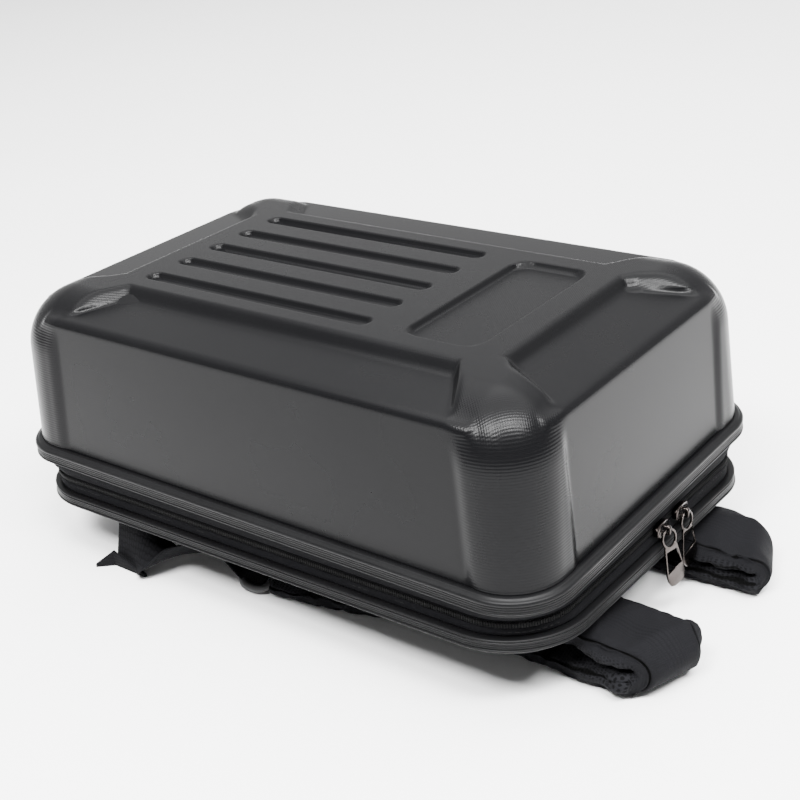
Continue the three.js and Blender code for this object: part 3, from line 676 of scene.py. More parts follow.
def shell_field(x, y, z):
    """Roughly the distance outside the shell's surface, negative inside."""
    rise = np.maximum(z - RIM_Z, 0)
    share = rise / (TOP_Z - RIM_Z)
    full = plan_distance(x, y, HALF_X - 0.05 * rise, HALF_Y - 0.05 * rise, RIM_RADIUS + 4 * share)
    body = round_max(full, z - TOP_Z, TOP_ROUND)
    inset = WALL_INSET + WALL_DRAFT * rise
    wall = plan_distance(x, y, HALF_X - inset, HALF_Y - inset, RIM_RADIUS + 14)
    fall_y = np.where(y < 0, FACET_FALL_NEAR, FACET_FALL_FAR)
    fall_x = np.where(x > 0, FACET_FALL_HEAD, FACET_FALL_FOOT)
    slope_y = fall_y * np.maximum(np.abs(y) - FACET_CREST_Y, 0)
    slope_x = fall_x * np.maximum(np.abs(x) - FACET_CREST_X, 0)
    hidden = 0.03 * np.maximum(np.abs(x) - 181, 0) * np.maximum(np.abs(y) - 106, 0)
    facet = z - (TOP_Z - FACET_DROP - slope_x - slope_y - hidden)
    lower = round_max(wall, facet, FACET_EDGE)
    soft = 1.6 + 2.2 * np.clip((np.abs(x) - 152) / 18, 0, 1)
    raised = smooth_max(body, raised_region(x, y, z) * 0.8, soft)
    made = smooth_min(lower, raised, soft)
    flange = np.maximum(plan_distance(x, y, HALF_X, HALF_Y, RIM_RADIUS), z - FLANGE_TOP)
    made = smooth_min(made, flange, 0.8)
    return smooth_max(made, -sunk_shapes(x, y, z), 0.9)


CORE = (177.0, 98.0, 168.5)
SHELL_WALL = 3.0
CORNER_RAYS = 24
NEAREST = 14.0
FARTHEST = 72.0
HALVINGS = 22


def spread(pieces):
    """Line positions from stretches (start, end, step)."""
    made = []
    for start, end, step in pieces:
        count = max(int(round((end - start) / step)), 1)
        made.extend(start + (end - start) * i / count for i in range(count))
    made.append(pieces[-1][1])
    return made


def rays(inner, fan):
    """Pairs (place, tangent): fanned out to 45 degrees at both ends of the inner lines."""
    out = [math.tan(math.radians(45 * (1 - i / fan))) for i in range(fan)]
    low = [(inner[0], -tangent) for tangent in out]
    high = [(inner[-1], tangent) for tangent in reversed(out)]
    return low + [(place, 0.0) for place in inner] + high


def shell_grid(x_lines, y_lines, z_lines, fan):
    """Rays from the shell's core: starts, directions and quads of a box-like grid, open below."""
    xs, ys = rays(x_lines, fan), rays(y_lines, fan)
    zs = [(z, 0.0) for z in z_lines] + rays(z_lines, fan)[-fan:]
    starts, ways, quads = [], [], []

    def sheet(rows):
        first = len(starts)
        for row in rows:
            for start, way in row:
                starts.append(start)
                ways.append(way)
        wide = len(rows[0])
        for i in range(len(rows) - 1):
            for j in range(wide - 1):
                a = first + i * wide + j
                quads.append((a, a + 1, a + wide + 1, a + wide))

    top = CORE[2]
    sheet([[((x, y, top), (tx, ty, 1.0)) for x, tx in xs] for y, ty in ys])
    for side in (-1, 1):
        sheet([[((x, side * CORE[1], z), (tx, side, tz)) for x, tx in xs] for z, tz in zs])
        sheet([[((side * CORE[0], y, z), (side, ty, tz)) for y, ty in ys] for z, tz in zs])
    return np.array(starts), np.array(ways), quads


def cast(starts, ways, inset=0.0):
    """Points where the rays leave the shell's field."""
    ways = ways / np.linalg.norm(ways, axis=1)[:, None]
    near = np.full(len(starts), NEAREST)
    far = np.full(len(starts), FARTHEST)
    for _ in range(HALVINGS):
        middle = (near + far) / 2
        p = starts + ways * middle[:, None]
        outside = shell_field(p[:, 0], p[:, 1], p[:, 2]) > 0
        far = np.where(outside, middle, far)
        near = np.where(outside, near, middle)
    return starts + ways * (near - inset)[:, None]


def surface_marks(obj):
    """Point values for the material: how far the lines cross, and how strong they are."""
    mesh = obj.data
    upward = np.clip((read_vectors(mesh, "normal")[:, 2] - 0.35) / 0.4, 0, 1)
    p = read_vectors(mesh, "co") / MM - np.array([CASE_CENTRE_X, CASE_CENTRE_Y, 0])
    on_raised = np.clip(0.5 - raised_region(p[:, 0], p[:, 1], p[:, 2]) / 4, 0, 1)
    mark(mesh, "crossed", upward * upward * (3 - 2 * upward))
    mark(mesh, "lined", 0.15 + 0.85 * on_raised)


def moulded_shell():
    """The moulded front: a grid cast on the shell's field, finer over edges, with a plain inside."""
    along = [(-177, -146, 1.5), (-146, -135, 0.9), (-135, 49, 7), (49, 60, 0.9), (60, 83, 4), (83, 89, 0.9)]
    along += [(89, 100, 1.5), (100, 128, 4), (128, 139, 1.5), (139, 146, 0.9), (146, 177, 1.5)]
    over = [(-98, -73, 1.5)]
    for i in range(SLOTS):
        slot = (i - SLOTS // 2) * SLOT_PITCH
        over += [(slot - 8, slot - 3.5, 0.75), (slot - 3.5, slot + 3.5, 2.3), (slot + 3.5, slot + 8, 0.75)]
        over += [(slot + 8, slot + SLOT_PITCH - 8, 2.7)] if i < SLOTS - 1 else [(slot + 8, 98, 1.5)]
    x_lines, y_lines = spread(along), spread(over)
    z_lines = spread([(SHELL_FOOT, 92, 3), (92, CORE[2], 3.2)])
    starts, ways, quads = shell_grid(x_lines, y_lines, z_lines, CORNER_RAYS)
    points = cast(starts, ways)
    inner_x, inner_y = spread([(-CORE[0], CORE[0], 30)]), spread([(-CORE[1], CORE[1], 20)])
    starts, ways, inner_quads = shell_grid(inner_x, inner_y, [SHELL_FOOT, 120, CORE[2]], 4)
    inside = cast(starts, ways, SHELL_WALL)
    shift = len(points)
    faces = quads + [tuple(shift + i for i in face) for face in inner_quads]
    mesh = bpy.data.meshes.new("moulded_shell")
    mesh.from_pydata([tuple(p) for p in in_row(np.concatenate([points, inside]))], [], faces)
    work = bmesh.new()
    work.from_mesh(mesh)
    bmesh.ops.remove_doubles(work, verts=work.verts, dist=2e-6)
    rim = [e for e in work.edges if e.is_boundary]
    bmesh.ops.bridge_loops(work, edges=rim)
    bmesh.ops.recalc_face_normals(work, faces=work.faces)
    work.to_mesh(mesh)
    work.free()
    shade_smooth(mesh)
    obj = link(bpy.data.objects.new("moulded_shell", mesh))
    surface_marks(obj)
    return dress(obj, SHELL, stands_for=("front_shell",))


# Rings round the case.


def ring_plan(half_x, half_y, radius, shift=0.0, steps=22, straight=0):
    """Outline of a rounded rectangle with outward normals: rows x, y, nx, ny and length along it."""
    corners = [
        (half_x - radius, half_y - radius, 0),
        (radius - half_x, half_y - radius, 1),
        (radius - half_x, radius - half_y, 2),
        (half_x - radius, radius - half_y, 3),
    ]
    rows = []
    for number, (cx, cy, quarter) in enumerate(corners):
        for i in range(steps + 1):
            turn = (quarter + i / steps) * math.pi / 2
            nx, ny = math.cos(turn), math.sin(turn)
            rows.append((shift + cx + radius * nx, cy + radius * ny, nx, ny))
        if straight:
            ax, ay, nx, ny = rows[-1]
            bx, by, _ = corners[(number + 1) % 4]
            bx, by = shift + bx + radius * nx, by + radius * ny
            for i in range(1, straight):
                share = i / straight
                rows.append((ax + (bx - ax) * share, ay + (by - ay) * share, nx, ny))
    rows = np.array(rows)
    gaps = np.hypot(*(np.roll(rows[:, :2], -1, axis=0) - rows[:, :2]).T)
    along = np.concatenate([[0], np.cumsum(gaps)])
    return rows, along


def uv_corners(left, right, low, high):
    """The four UV corners of one quad, in its own order."""
    return [(left, low), (right, low), (right, high), (left, high)]


def ring_piece(name, plan, section, height):
    """A closed section (out, up) swept round a plan; height(x, y, up) gives z. UVs in millimetres."""
    rows, along = plan
    count, deep = len(rows), len(section)
    points = np.zeros((count, deep, 3))
    for j, (out, up) in enumerate(section):
        x = rows[:, 0] + rows[:, 2] * out
        y = rows[:, 1] + rows[:, 3] * out
        points[:, j] = np.stack([x, y, height(x, y, up)], axis=1)
    steps = [0.0]
    for j in range(deep):
        a, b = section[j], section[(j + 1) % deep]
        steps.append(steps[-1] + math.hypot(b[0] - a[0], b[1] - a[1]))
    faces, uvs = [], []
    for i in range(count):
        k = (i + 1) % count
        for j in range(deep):
            m = (j + 1) % deep
            faces.append((i * deep + j, k * deep + j, k * deep + m, i * deep + m))
            uvs += uv_corners(along[i], along[i + 1], steps[j], steps[j + 1])
    return mesh_piece(name, points.reshape(-1, 3), faces, uvs)


RIM_PLAN = ring_plan(HALF_X, HALF_Y, RIM_RADIUS)
BACK_PLAN = ring_plan(BACK_HALF_X, BACK_HALF_Y, BACK_RADIUS, BACK_SHIFT)


def level(base):
    """Height over a level ring."""
    return lambda x, y, up: np.zeros_like(x) + base + up


def leaning(base):
    """Height over a ring of the leaning back section."""
    return lambda x, y, up: base + up + lean(x, y)


RIB_COUNT = 3
RIB_DEPTH = 0.45


def ribs(low, high, out):
    """Rounded ribs down a face: rows (out, up) from high to low."""
    made = []
    pitch = (high - low) / RIB_COUNT
    for i in range(RIB_COUNT):
        for share, lift in ((0.0, 0.0), (0.18, 0.75), (0.36, 1.0), (0.64, 1.0), (0.82, 0.75)):
            made.append((out - RIB_DEPTH + RIB_DEPTH * lift, high - (i + share) * pitch))
    made.append((out - RIB_DEPTH, low))
    return made


def front_trim():
    """The upper channel: a rolled edge against the shell, three ribs and a lip."""
    rolled_edge = [(0.4, 10.4), (-1.3, 10.5), (-1.3, 11.2), (0.6, 11.4)]
    rolled_edge += [(2.1, 11.3), (2.9, 10.9), (3.3, 10.2)]
    crown = [(4.3, 10.0), (5.3, 9.3), (5.8, 8.3), (5.8, 7.2)]
    lip = [(5.4, 1.7), (5.9, 1.4), (5.9, 0.6), (4.9, 0.1), (3.4, 0.0)]
    foot = [(-3.8, 0.0), (-3.8, 2.6), (0.4, 2.6)]
    section = rolled_edge + crown + ribs(1.9, 6.8, 5.6) + lip + foot
    obj = ring_piece("front_trim_ring", RIM_PLAN, section, level(TRIM_BOTTOM))
    return dress(obj, TRIM, stands_for=("front_trim",))


def back_trim():
    """The lower channel, leaning with the back section."""
    top = [(-3.8, -2.6), (-3.8, 0.0), (3.8, 0.0), (4.9, -0.3), (5.2, -0.9), (4.8, -1.4), (4.2, -1.7)]
    lip = [(4.6, -6.6), (5.6, -7.0), (5.9, -7.7), (5.3, -8.4), (3.6, -8.6), (0.4, -8.6), (0.4, -2.6)]
    section = top + ribs(-6.2, -2.0, 5.2) + lip
    obj = ring_piece("back_trim_ring", BACK_PLAN, section, leaning(BACK_TOP))
    return dress(obj, TRIM, stands_for=("back_trim",))


ZIP_SHARE = 0.375
ZIP_INSET = 2.0
TAPE_HALF = 2.8


def zip_plan(offset=0.0, steps=22, straight=0):
    """Outline of the zip, between the rim and the back ring."""
    half_x = HALF_X * ZIP_SHARE + BACK_HALF_X * (1 - ZIP_SHARE) - ZIP_INSET + offset
    half_y = HALF_Y * ZIP_SHARE + BACK_HALF_Y * (1 - ZIP_SHARE) - ZIP_INSET + offset
    radius = RIM_RADIUS * ZIP_SHARE + BACK_RADIUS * (1 - ZIP_SHARE) + offset
    return ring_plan(half_x, half_y, radius, BACK_SHIFT * (1 - ZIP_SHARE), steps, straight)


def zip_height(x, y, up):
    """Height of the zip, between the leaning and the level ring."""
    return (BACK_TOP + lean(x, y)) * (1 - ZIP_SHARE) + TRIM_BOTTOM * ZIP_SHARE + up


def cloth_band(name, upper_plan, upper_z, lower_plan, lower_z, bulge):
    """A cloth wall between two rings of equal count, with a slight bulge and crumple."""
    (upper, along), (lower, _) = upper_plan, lower_plan
    deep, wall = 9, 1.8
    count = len(upper)
    shape = []
    for side in (0.0, wall):
        for j in range(deep):
            share = j / (deep - 1) if side == 0 else 1 - j / (deep - 1)
            swell = math.sin(share * math.pi) * bulge - side
            xy = upper[:, :2] * (1 - share) + lower[:, :2] * share
            normal = upper[:, 2:] * (1 - share) + lower[:, 2:] * share
            top = upper_z(upper[:, 0], upper[:, 1], 0.0)
            low = lower_z(lower[:, 0], lower[:, 1], 0.0)
            ripple = np.array([noise.noise(Vector((x * 0.05, y * 0.05, share * 0.8))) for x, y in xy])
            xy = xy + normal * (swell + 0.7 * ripple * math.sin(share * math.pi))[:, None]
            shape.append(np.column_stack([xy, top * (1 - share) + low * share]))
    grid = np.stack(shape, axis=1)
    wide = grid.shape[1]
    faces, uvs = [], []
    for i in range(count):
        k = (i + 1) % count
        for j in range(wide):
            m = (j + 1) % wide
            faces.append((i * wide + j, k * wide + j, k * wide + m, i * wide + m))
            uvs += uv_corners(along[i], along[i + 1], j * 2.0, (j + 1) * 2.0)
    return mesh_piece(name, grid.reshape(-1, 3), faces, uvs)


def gusset():
    """The cloth on both sides of the zip."""
    straight = 60
    rim = ring_plan(HALF_X, HALF_Y, RIM_RADIUS, 0.0, 22, straight)
    back = ring_plan(BACK_HALF_X, BACK_HALF_Y, BACK_RADIUS, BACK_SHIFT, 22, straight)
    middle = zip_plan(0.0, 22, straight)

    def above_zip(x, y, up):
        return zip_height(x, y, TAPE_HALF)

    def below_zip(x, y, up):
        return zip_height(x, y, -TAPE_HALF)

    upper = cloth_band("gusset_upper", rim, level(TRIM_BOTTOM - GAP), middle, above_zip, 1.2)
    dress(upper, GUSSET, stands_for=("gusset_front",))
    lower = cloth_band("gusset_lower", middle, below_zip, back, leaning(BACK_TOP + GAP), 0.6)
    dress(lower, GUSSET, stands_for=("gusset_back",))


TRIM_LIP_HEIGHT = 2.7


def panel():
    """The cloth-covered pan under the case, rounded at its lower edge."""
    rows, _ = ring_plan(BACK_HALF_X, BACK_HALF_Y, BACK_RADIUS, BACK_SHIFT, 22, 30)
    top = BACK_TOP - TRIM_LIP_HEIGHT - GAP
    profile = [(-14, PANEL_UNDERSIDE + 4), (-4, PANEL_UNDERSIDE + 6), (-3, top), (0.0, top)]
    profile += [(0.3, PANEL_UNDERSIDE + 8)]
    for i in range(7):
        turn = i / 6 * math.pi / 2
        profile.append((-6 + 6 * math.cos(turn), PANEL_UNDERSIDE + 6 - 6 * math.sin(turn)))
    profile += [(-16, PANEL_UNDERSIDE), (-60, PANEL_UNDERSIDE)]
    points, faces = [], []
    count, deep = len(rows), len(profile)
    for i in range(count):
        for out, z in profile:
            x = rows[i, 0] + rows[i, 2] * out
            y = rows[i, 1] + rows[i, 3] * out
            points.append((x, y, z + lean(x, y)))
    for i in range(count):
        k = (i + 1) % count
        for j in range(deep - 1):
            faces.append((i * deep + j, k * deep + j, k * deep + j + 1, i * deep + j + 1))
    faces.append(tuple(i * deep + deep - 1 for i in range(count)))
    faces.append(tuple(i * deep for i in range(count)))
    obj = mesh_piece("panel_cover", points, faces)
    flat_uv(obj.data)
    return dress(obj, PANEL, stands_for=("back_panel",))


# Straps.


PAD_WIDTH = 58.0
PAD_THICKNESS = 13.0
PAD_CENTRE_Y = 67.5
FOLD_REACH = 59.0
LOWER_END_X = -12.0
WEB_WIDTH = 36.0
BUCKLE_LENGTH = 34.0
BUCKLE_WIDTH = 46.0
BUCKLE_ROLL = 0.5
BUCKLE_BAR = (3.4, 2.4)
CROSS_BAR = (2.0, 1.3)
CROSS_BAR_DROP = -0.8
WEB_END_X = -144.0
WEB_FOOT_Y = 144.0
WEB_THICKNESS = 1.7
WEB_ROOM = 2.4

# The pad's lower run, back from the fold: share of the way, drift outwards, narrowing and roll.
PAD_RUN = (
    (0.26, -0.03, 0.0, 0.0),
    (0.47, -0.03, 0.0, 0.0),
    (0.69, 0.18, 0.12, 0.1),
    (0.81, 0.37, 0.3, 0.3),
    (0.9, 0.53, 0.65, 0.7),
    (1.0, 0.62, 1.0, 1.0),
)

# The webbing from the buckle to its tab: share of the way, drift outwards, lift, roll and twist.
WEB_RUN = (
    (0.0, 0.0, 0.24, 1.0, 0.0),
    (0.12, 0.0, 0.24, 1.0, 0.0),
    (0.24, -0.05, 0.3, -0.2, 0.0),
    (0.36, 0.05, 0.4, -1.1, 0.0),
    (0.47, 0.3, 0.5, -1.2, 0.0),
    (0.57, 0.65, 0.45, -1.1, 0.0),
    (0.68, 0.9, 0.3, -0.5, 0.15),
    (0.8, 1.0, 0.3, 0.0, 0.8),
    (0.9, 1.0, 0.6, 0.0, 1.0),
    (1.0, 1.0, 1.0, 0.0, 1.0),
)


def leaned(side, angle, width, thick):
    """Direction across a strap that leans over, and how high its centre then lies."""
    across = np.array([0.0, math.cos(angle), -side * math.sin(angle)])
    return across, (abs(math.sin(angle)) * width + math.cos(angle) * thick) / 2


def pad_route(side):
    """Stations (place, across, width, thickness) of a shoulder pad, folded under the case."""
    y0 = side * PAD_CENTRE_Y
    half = PAD_THICKNESS / 2

    def under(x):
        return PANEL_UNDERSIDE + lean(x, y0) - GAP - half

    level_across = np.array([0, 1, LEAN_Y])
    made = [((x, y0, under(x)), level_across, PAD_WIDTH, PAD_THICKNESS) for x in (160.0, 190.0, 220.0)]
    fold_x = HALF_X + FOLD_REACH - PAD_THICKNESS
    fold_top = under(HALF_X) - 2
    radius = (fold_top - half) / 2
    for i in range(9):
        turn = i / 8 * math.pi
        bulge = math.sin(turn)
        place = (fold_x - radius + radius * bulge, y0, half + radius + radius * math.cos(turn))
        made.append((place, np.array([-side * 0.42, 1, 0]), PAD_WIDTH * (1 - 0.25 * bulge), PAD_THICKNESS))
    start = fold_x - radius
    for back, drift, narrow, roll in PAD_RUN:
        width = PAD_WIDTH - 16 * narrow
        across, reach = leaned(side, roll * BUCKLE_ROLL, width, PAD_THICKNESS)
        place = (start + back * (LOWER_END_X - start), y0 + side * drift * PAD_WIDTH, reach)
        made.append((place, across, width, PAD_THICKNESS))
    return made


def buckle_place(side):
    """Middle of the buckle, past the pad's lower end."""
    end = pad_route(side)[-1][0]
    _, reach = leaned(side, BUCKLE_ROLL, BUCKLE_WIDTH, 5.0)
    return np.array([end[0] - BUCKLE_LENGTH / 2 - GAP, end[1], reach])


def web_route(side):
    """Stations of the webbing from the buckle to its sewn end."""
    start = buckle_place(side)
    first_x = start[0] + 8
    rise = PANEL_UNDERSIDE + lean(WEB_END_X, side * WEB_FOOT_Y) - GAP
    steepest = math.asin(min((rise - WEB_ROOM) / WEB_WIDTH, 1))
    end_y = side * (WEB_FOOT_Y - math.cos(steepest) * WEB_WIDTH / 2)
    made = []
    for way, out, lift, roll, twist in WEB_RUN:
        across, reach = leaned(side, roll * BUCKLE_ROLL + twist * steepest, WEB_WIDTH, WEB_ROOM)
        x = first_x + way * (WEB_END_X - first_x)
        y = start[1] + out * (end_y - start[1])
        made.append(((x, y, reach + lift * (rise - 2 * reach)), across, WEB_WIDTH, WEB_THICKNESS))
    return made


def smoothed(route, step):
    """The route as arrays, resampled at even steps along a smooth curve."""
    rows = []
    for place, across, width, thick in route:
        rows.append(np.concatenate([place, across / np.linalg.norm(across), [width, thick]]))
    rows = np.array(rows)
    rows = np.vstack([2 * rows[0] - rows[1], rows, 2 * rows[-1] - rows[-2]])
    fine = []
    for i in range(1, len(rows) - 2):
        a, b, c, d = rows[i - 1 : i + 3]
        for t in np.linspace(0, 1, 16, endpoint=False):
            square, cube = 2 * a - 5 * b + 4 * c - d, 3 * b - a - 3 * c + d
            fine.append(0.5 * (2 * b + (c - a) * t + square * t * t + cube * t**3))
    fine.append(rows[-2])
    fine = np.array(fine)
    lengths = np.concatenate([[0], np.cumsum(np.linalg.norm(np.diff(fine[:, :3], axis=0), axis=1))])
    count = int(lengths[-1] / step)
    even = np.linspace(0, lengths[-1], count + 1)
    return np.column_stack([np.interp(even, lengths, fine[:, k]) for k in range(fine.shape[1])]), even


def strap_mesh(name, route, step, around, square):
    """A closed strap along a route: grid of rings with capped ends, UVs in millimetres."""
    rows, along = smoothed(route, step)
    ways = np.gradient(rows[:, :3], axis=0)
    ways /= np.linalg.norm(ways, axis=1)[:, None]
    across = rows[:, 3:6] / np.linalg.norm(rows[:, 3:6], axis=1)[:, None]
    normals = np.cross(ways, across)
    normals /= np.linalg.norm(normals, axis=1)[:, None]
    turn = (np.arange(around) + 0.5) / around * 2 * math.pi
    u = np.sign(np.cos(turn)) * np.abs(np.cos(turn)) ** square / 2
    v = np.sign(np.sin(turn)) * np.abs(np.sin(turn)) ** square / 2
    grid = rows[:, None, :3] + across[:, None] * (u[None, :, None] * rows[:, 6, None, None])
    grid = grid + normals[:, None] * (v[None, :, None] * rows[:, 7, None, None])
    faces, uvs = [], []
    girth = PAD_WIDTH * 2.4 / around
    for i in range(len(rows) - 1):
        for j in range(around):
            k = (j + 1) % around
            faces.append((i * around + j, i * around + k, (i + 1) * around + k, (i + 1) * around + j))
            uvs += uv_corners(j * girth, (j + 1) * girth, along[i], along[i + 1])
    points = grid.reshape(-1, 3)
    for ring in (0, len(rows) - 1):
        centre = rows[ring, :3]
        first = ring * around
        previous = [first + j for j in range(around)]
        for share in (0.7, 0.35):
            fresh = [len(points) + j for j in range(around)]
            last = points[first : first + around]
            points = np.vstack([points, centre + (last - centre) * share])
            for j in range(around):
                k = (j + 1) % around
                faces.append((previous[j], previous[k], fresh[k], fresh[j]))
                uvs += [(0, 0), (girth, 0), (girth, girth), (0, girth)]
            previous = fresh
        middle = len(points)
        points = np.vstack([points, centre])
        for j in range(around):
            faces.append((previous[j], previous[(j + 1) % around], middle))
            uvs += [(0, 0), (girth, 0), (0, girth)]
    return mesh_piece(name, points, faces, uvs), len(rows), v * 2, u * 2


PUFF_FRAMES = 20
PUFF_LIMIT = 5.0
CREASE = 2.2
FINE_CREASE = 1.1
FOLD_PILE = 6.5
SEAM_DEPTH = 1.7
SEAM_COLUMNS = (3, 16, 23, 36)


def puff(obj, held, cap):
    """Fills a pad by cloth pressure with its seams held, and limits how far it swells."""
    before = read_vectors(obj.data, "co")
    group = obj.vertex_groups.new(name="seams")
    group.add([int(i) for i in held], 1.0, "REPLACE")
    cloth = obj.modifiers.new("cloth", "CLOTH")
    settings = cloth.settings
    settings.quality = 6
    settings.mass = 0.25
    settings.tension_stiffness = 18
    settings.compression_stiffness = 8
    settings.shear_stiffness = 8
    settings.bending_stiffness = 0.4
    settings.use_pressure = True
    settings.uniform_pressure_force = 4.0
    settings.shrink_min = -0.05
    settings.vertex_group_mass = "seams"
    settings.effector_weights.gravity = 0.0
    cloth.point_cache.frame_start = 1
    cloth.point_cache.frame_end = PUFF_FRAMES
    scene = bpy.context.scene
    for number in range(1, PUFF_FRAMES + 1):
        scene.frame_set(number)
    shaped = obj.evaluated_get(bpy.context.evaluated_depsgraph_get()).to_mesh()
    after = read_vectors(shaped, "co")
    obj.evaluated_get(bpy.context.evaluated_depsgraph_get()).to_mesh_clear()
    obj.modifiers.remove(cloth)
    scene.frame_set(1)
    moved = after - before
    length = np.linalg.norm(moved, axis=1)
    moved *= np.minimum(1, cap * MM / np.maximum(length, 1e-9))[:, None]
    set_points(obj.data, before + moved)


def refine(obj):
    """Subdivides once and keeps the result as plain mesh."""
    work = obj.modifiers.new("smooth", "SUBSURF")
    work.levels = work.render_levels = 1
    fresh = evaluated_mesh(obj)
    obj.modifiers.clear()
    obj.vertex_groups.clear()
    obj.data = fresh


def clouds(points, scale, seed):
    """One noise value per point, the seed moving the pattern along."""
    return np.array([noise.noise(Vector((x * scale + seed, y * scale, z * scale))) for x, y, z in points])


def shoulder_pad(side, name, node):
    """A padded strap: puffed between its seams, refined, then creased, and kept under the case."""
    around = 40
    route = [(place, across, width - 2, thick - 2.4) for place, across, width, thick in pad_route(side)]
    obj, rings, v, u = strap_mesh(name, route, 4.4, around, 0.5)
    count = len(obj.data.vertices)
    face = np.zeros(count)
    edge = np.zeros(count)
    face[: rings * around] = np.tile(v, rings)
    edge[: rings * around] = np.tile(np.abs(u), rings)
    sewn = [i * around + j for i in range(rings) for j in SEAM_COLUMNS]
    held = sewn + list(range(3 * around)) + list(range((rings - 3) * around, rings * around))
    seam = np.zeros(count)
    seam[sewn] = 1.0
    mark(obj.data, "face", face)
    mark(obj.data, "seam", seam)
    puff(obj, held, PUFF_LIMIT)
    refine(obj)
    mesh = obj.data
    points = read_vectors(mesh, "co")
    normals = read_vectors(mesh, "normal")
    face = read_mark(mesh, "face")
    seam = read_mark(mesh, "seam")
    loose = np.clip(0.75 - face, 0, 1)
    broad = clouds(points, 38.0, 3.0 * side)
    fine = clouds(points * np.array([1.0, 0.5, 1.0]), 110.0, 7.0 * side)
    out_x = points[:, 0] / MM - CASE_CENTRE_X
    in_fold = np.clip((out_x - 196) / 30, 0, 1) * np.clip(0.35 - face, 0, 1)
    lift = loose * (CREASE * broad + FINE_CREASE * fine) + FOLD_PILE * in_fold * (0.75 + 0.5 * broad)
    lift += 0.3 * (1 - loose) * broad - SEAM_DEPTH * seam
    points = points + normals * (lift * MM)[:, None]
    points[:, 2] = np.maximum(points[:, 2], 0.0002)
    under_case = points[:, 0] < (CASE_CENTRE_X + HALF_X - 3) * MM
    x, y = points[:, 0] / MM - CASE_CENTRE_X, points[:, 1] / MM - CASE_CENTRE_Y
    ceiling = (PANEL_UNDERSIDE + lean(x, y) - GAP) * MM
    points[:, 2] = np.where(under_case, np.minimum(points[:, 2], ceiling), points[:, 2])
    set_points(mesh, points)
    shade_smooth(mesh)
    dress(obj, PAD, stands_for=(node,))
    return obj


def webbing(side, name, node):
    """The flat strap from the buckle to the sewn tab."""
    obj = strap_mesh(name, web_route(side), 2.2, 24, 0.25)[0]
    return dress(obj, WEBBING, stands_for=(node,))


# Zip, metal and buckles.


def repeat_nodes(name, pitch, size, sides, finish):
    """Geometry nodes: one small rounded bar at each step along a line."""
    tree = bpy.data.node_groups.new(name, "GeometryNodeTree")
    tree.interface.new_socket("Geometry", in_out="INPUT", socket_type="NodeSocketGeometry")
    sockets = {}
    values = {"Pitch": pitch, "Length": size[0], "Thickness": size[1], "Upright": size[2]}
    for label, value in values.items():
        socket = tree.interface.new_socket(label, in_out="INPUT", socket_type=FLOAT)
        socket.default_value = value
        sockets[label] = socket.identifier
    tree.interface.new_socket("Geometry", in_out="OUTPUT", socket_type="NodeSocketGeometry")
    t = Tree(tree)
    source, sink = t.node("NodeGroupInput"), t.node("NodeGroupOutput")
    line = t.node("GeometryNodeMeshToCurve")
    t.feed(line.inputs["Mesh"], source.outputs["Geometry"])
    even = t.node("GeometryNodeCurveToPoints", mode="LENGTH")
    t.feed(even.inputs["Curve"], line.outputs["Curve"])
    t.feed(even.inputs["Length"], source.outputs["Pitch"])
    bar = t.node("GeometryNodeMeshCylinder", fill_type="TRIANGLE_FAN")
    bar.inputs["Vertices"].default_value = sides
    bar.inputs["Side Segments"].default_value = 1
    t.feed(bar.inputs["Radius"], t.math("MULTIPLY", source.outputs["Thickness"], 0.5))
    t.feed(bar.inputs["Depth"], source.outputs["Length"])
    turn = t.node("FunctionNodeAlignRotationToVector", axis="Z")
    t.feed(turn.inputs["Vector"], even.outputs["Tangent"])
    t.feed(turn.inputs["Factor"], t.math("SUBTRACT", 1.0, source.outputs["Upright"]))
    spread_out = t.node("GeometryNodeInstanceOnPoints")
    t.feed(spread_out.inputs["Points"], even.outputs["Points"])
    t.feed(spread_out.inputs["Instance"], bar.outputs["Mesh"])
    t.feed(spread_out.inputs["Rotation"], turn.outputs["Rotation"])
    solid = t.node("GeometryNodeRealizeInstances")
    t.feed(solid.inputs["Geometry"], spread_out.outputs["Instances"])
    coat = t.node("GeometryNodeSetMaterial")
    t.feed(coat.inputs["Geometry"], solid.outputs["Geometry"])
    coat.inputs["Material"].default_value = finish
    t.feed(sink.inputs["Geometry"], coat.outputs["Geometry"])
    return tree, sockets, values


def repeated(name, lines, pitch, size, sides, finish):
    """Repeated small bars along closed lines of case-frame points, as one plain mesh."""
    points, edges = [], []
    for line in lines:
        first = len(points)
        points += [tuple(p) for p in in_row(line)]
        edges += [(first + i, first + (i + 1) % len(line)) for i in range(len(line))]
    mesh = bpy.data.meshes.new(name + "_line")
    mesh.from_pydata(points, edges, [])
    carrier = link(bpy.data.objects.new(name + "_line", mesh))
    tree, sockets, values = repeat_nodes(name + "_nodes", pitch, size, sides, finish)
    work = carrier.modifiers.new("repeat", "NODES")
    work.node_group = tree
    for label, identifier in sockets.items():
        work[identifier] = values[label]
    shown = evaluated_mesh(carrier)
    carrier.modifiers.clear()
    bpy.data.objects.remove(carrier)
    obj = link(bpy.data.objects.new(name, shown))
    shade_smooth(shown)
    return dress(obj, finish)


def zip_line(offset, up):
    """A line round the case beside the zip's middle."""
    rows, _ = zip_plan(offset, 22, 40)
    return np.column_stack([rows[:, 0], rows[:, 1], zip_height(rows[:, 0], rows[:, 1], up)])


TOOTH_PITCH = 0.0017
TOOTH_SIZE = (0.0034, 0.0012, 1.0)
STITCH_PITCH = 0.0042
STITCH_SIZE = (0.003, 0.0006, 0.0)


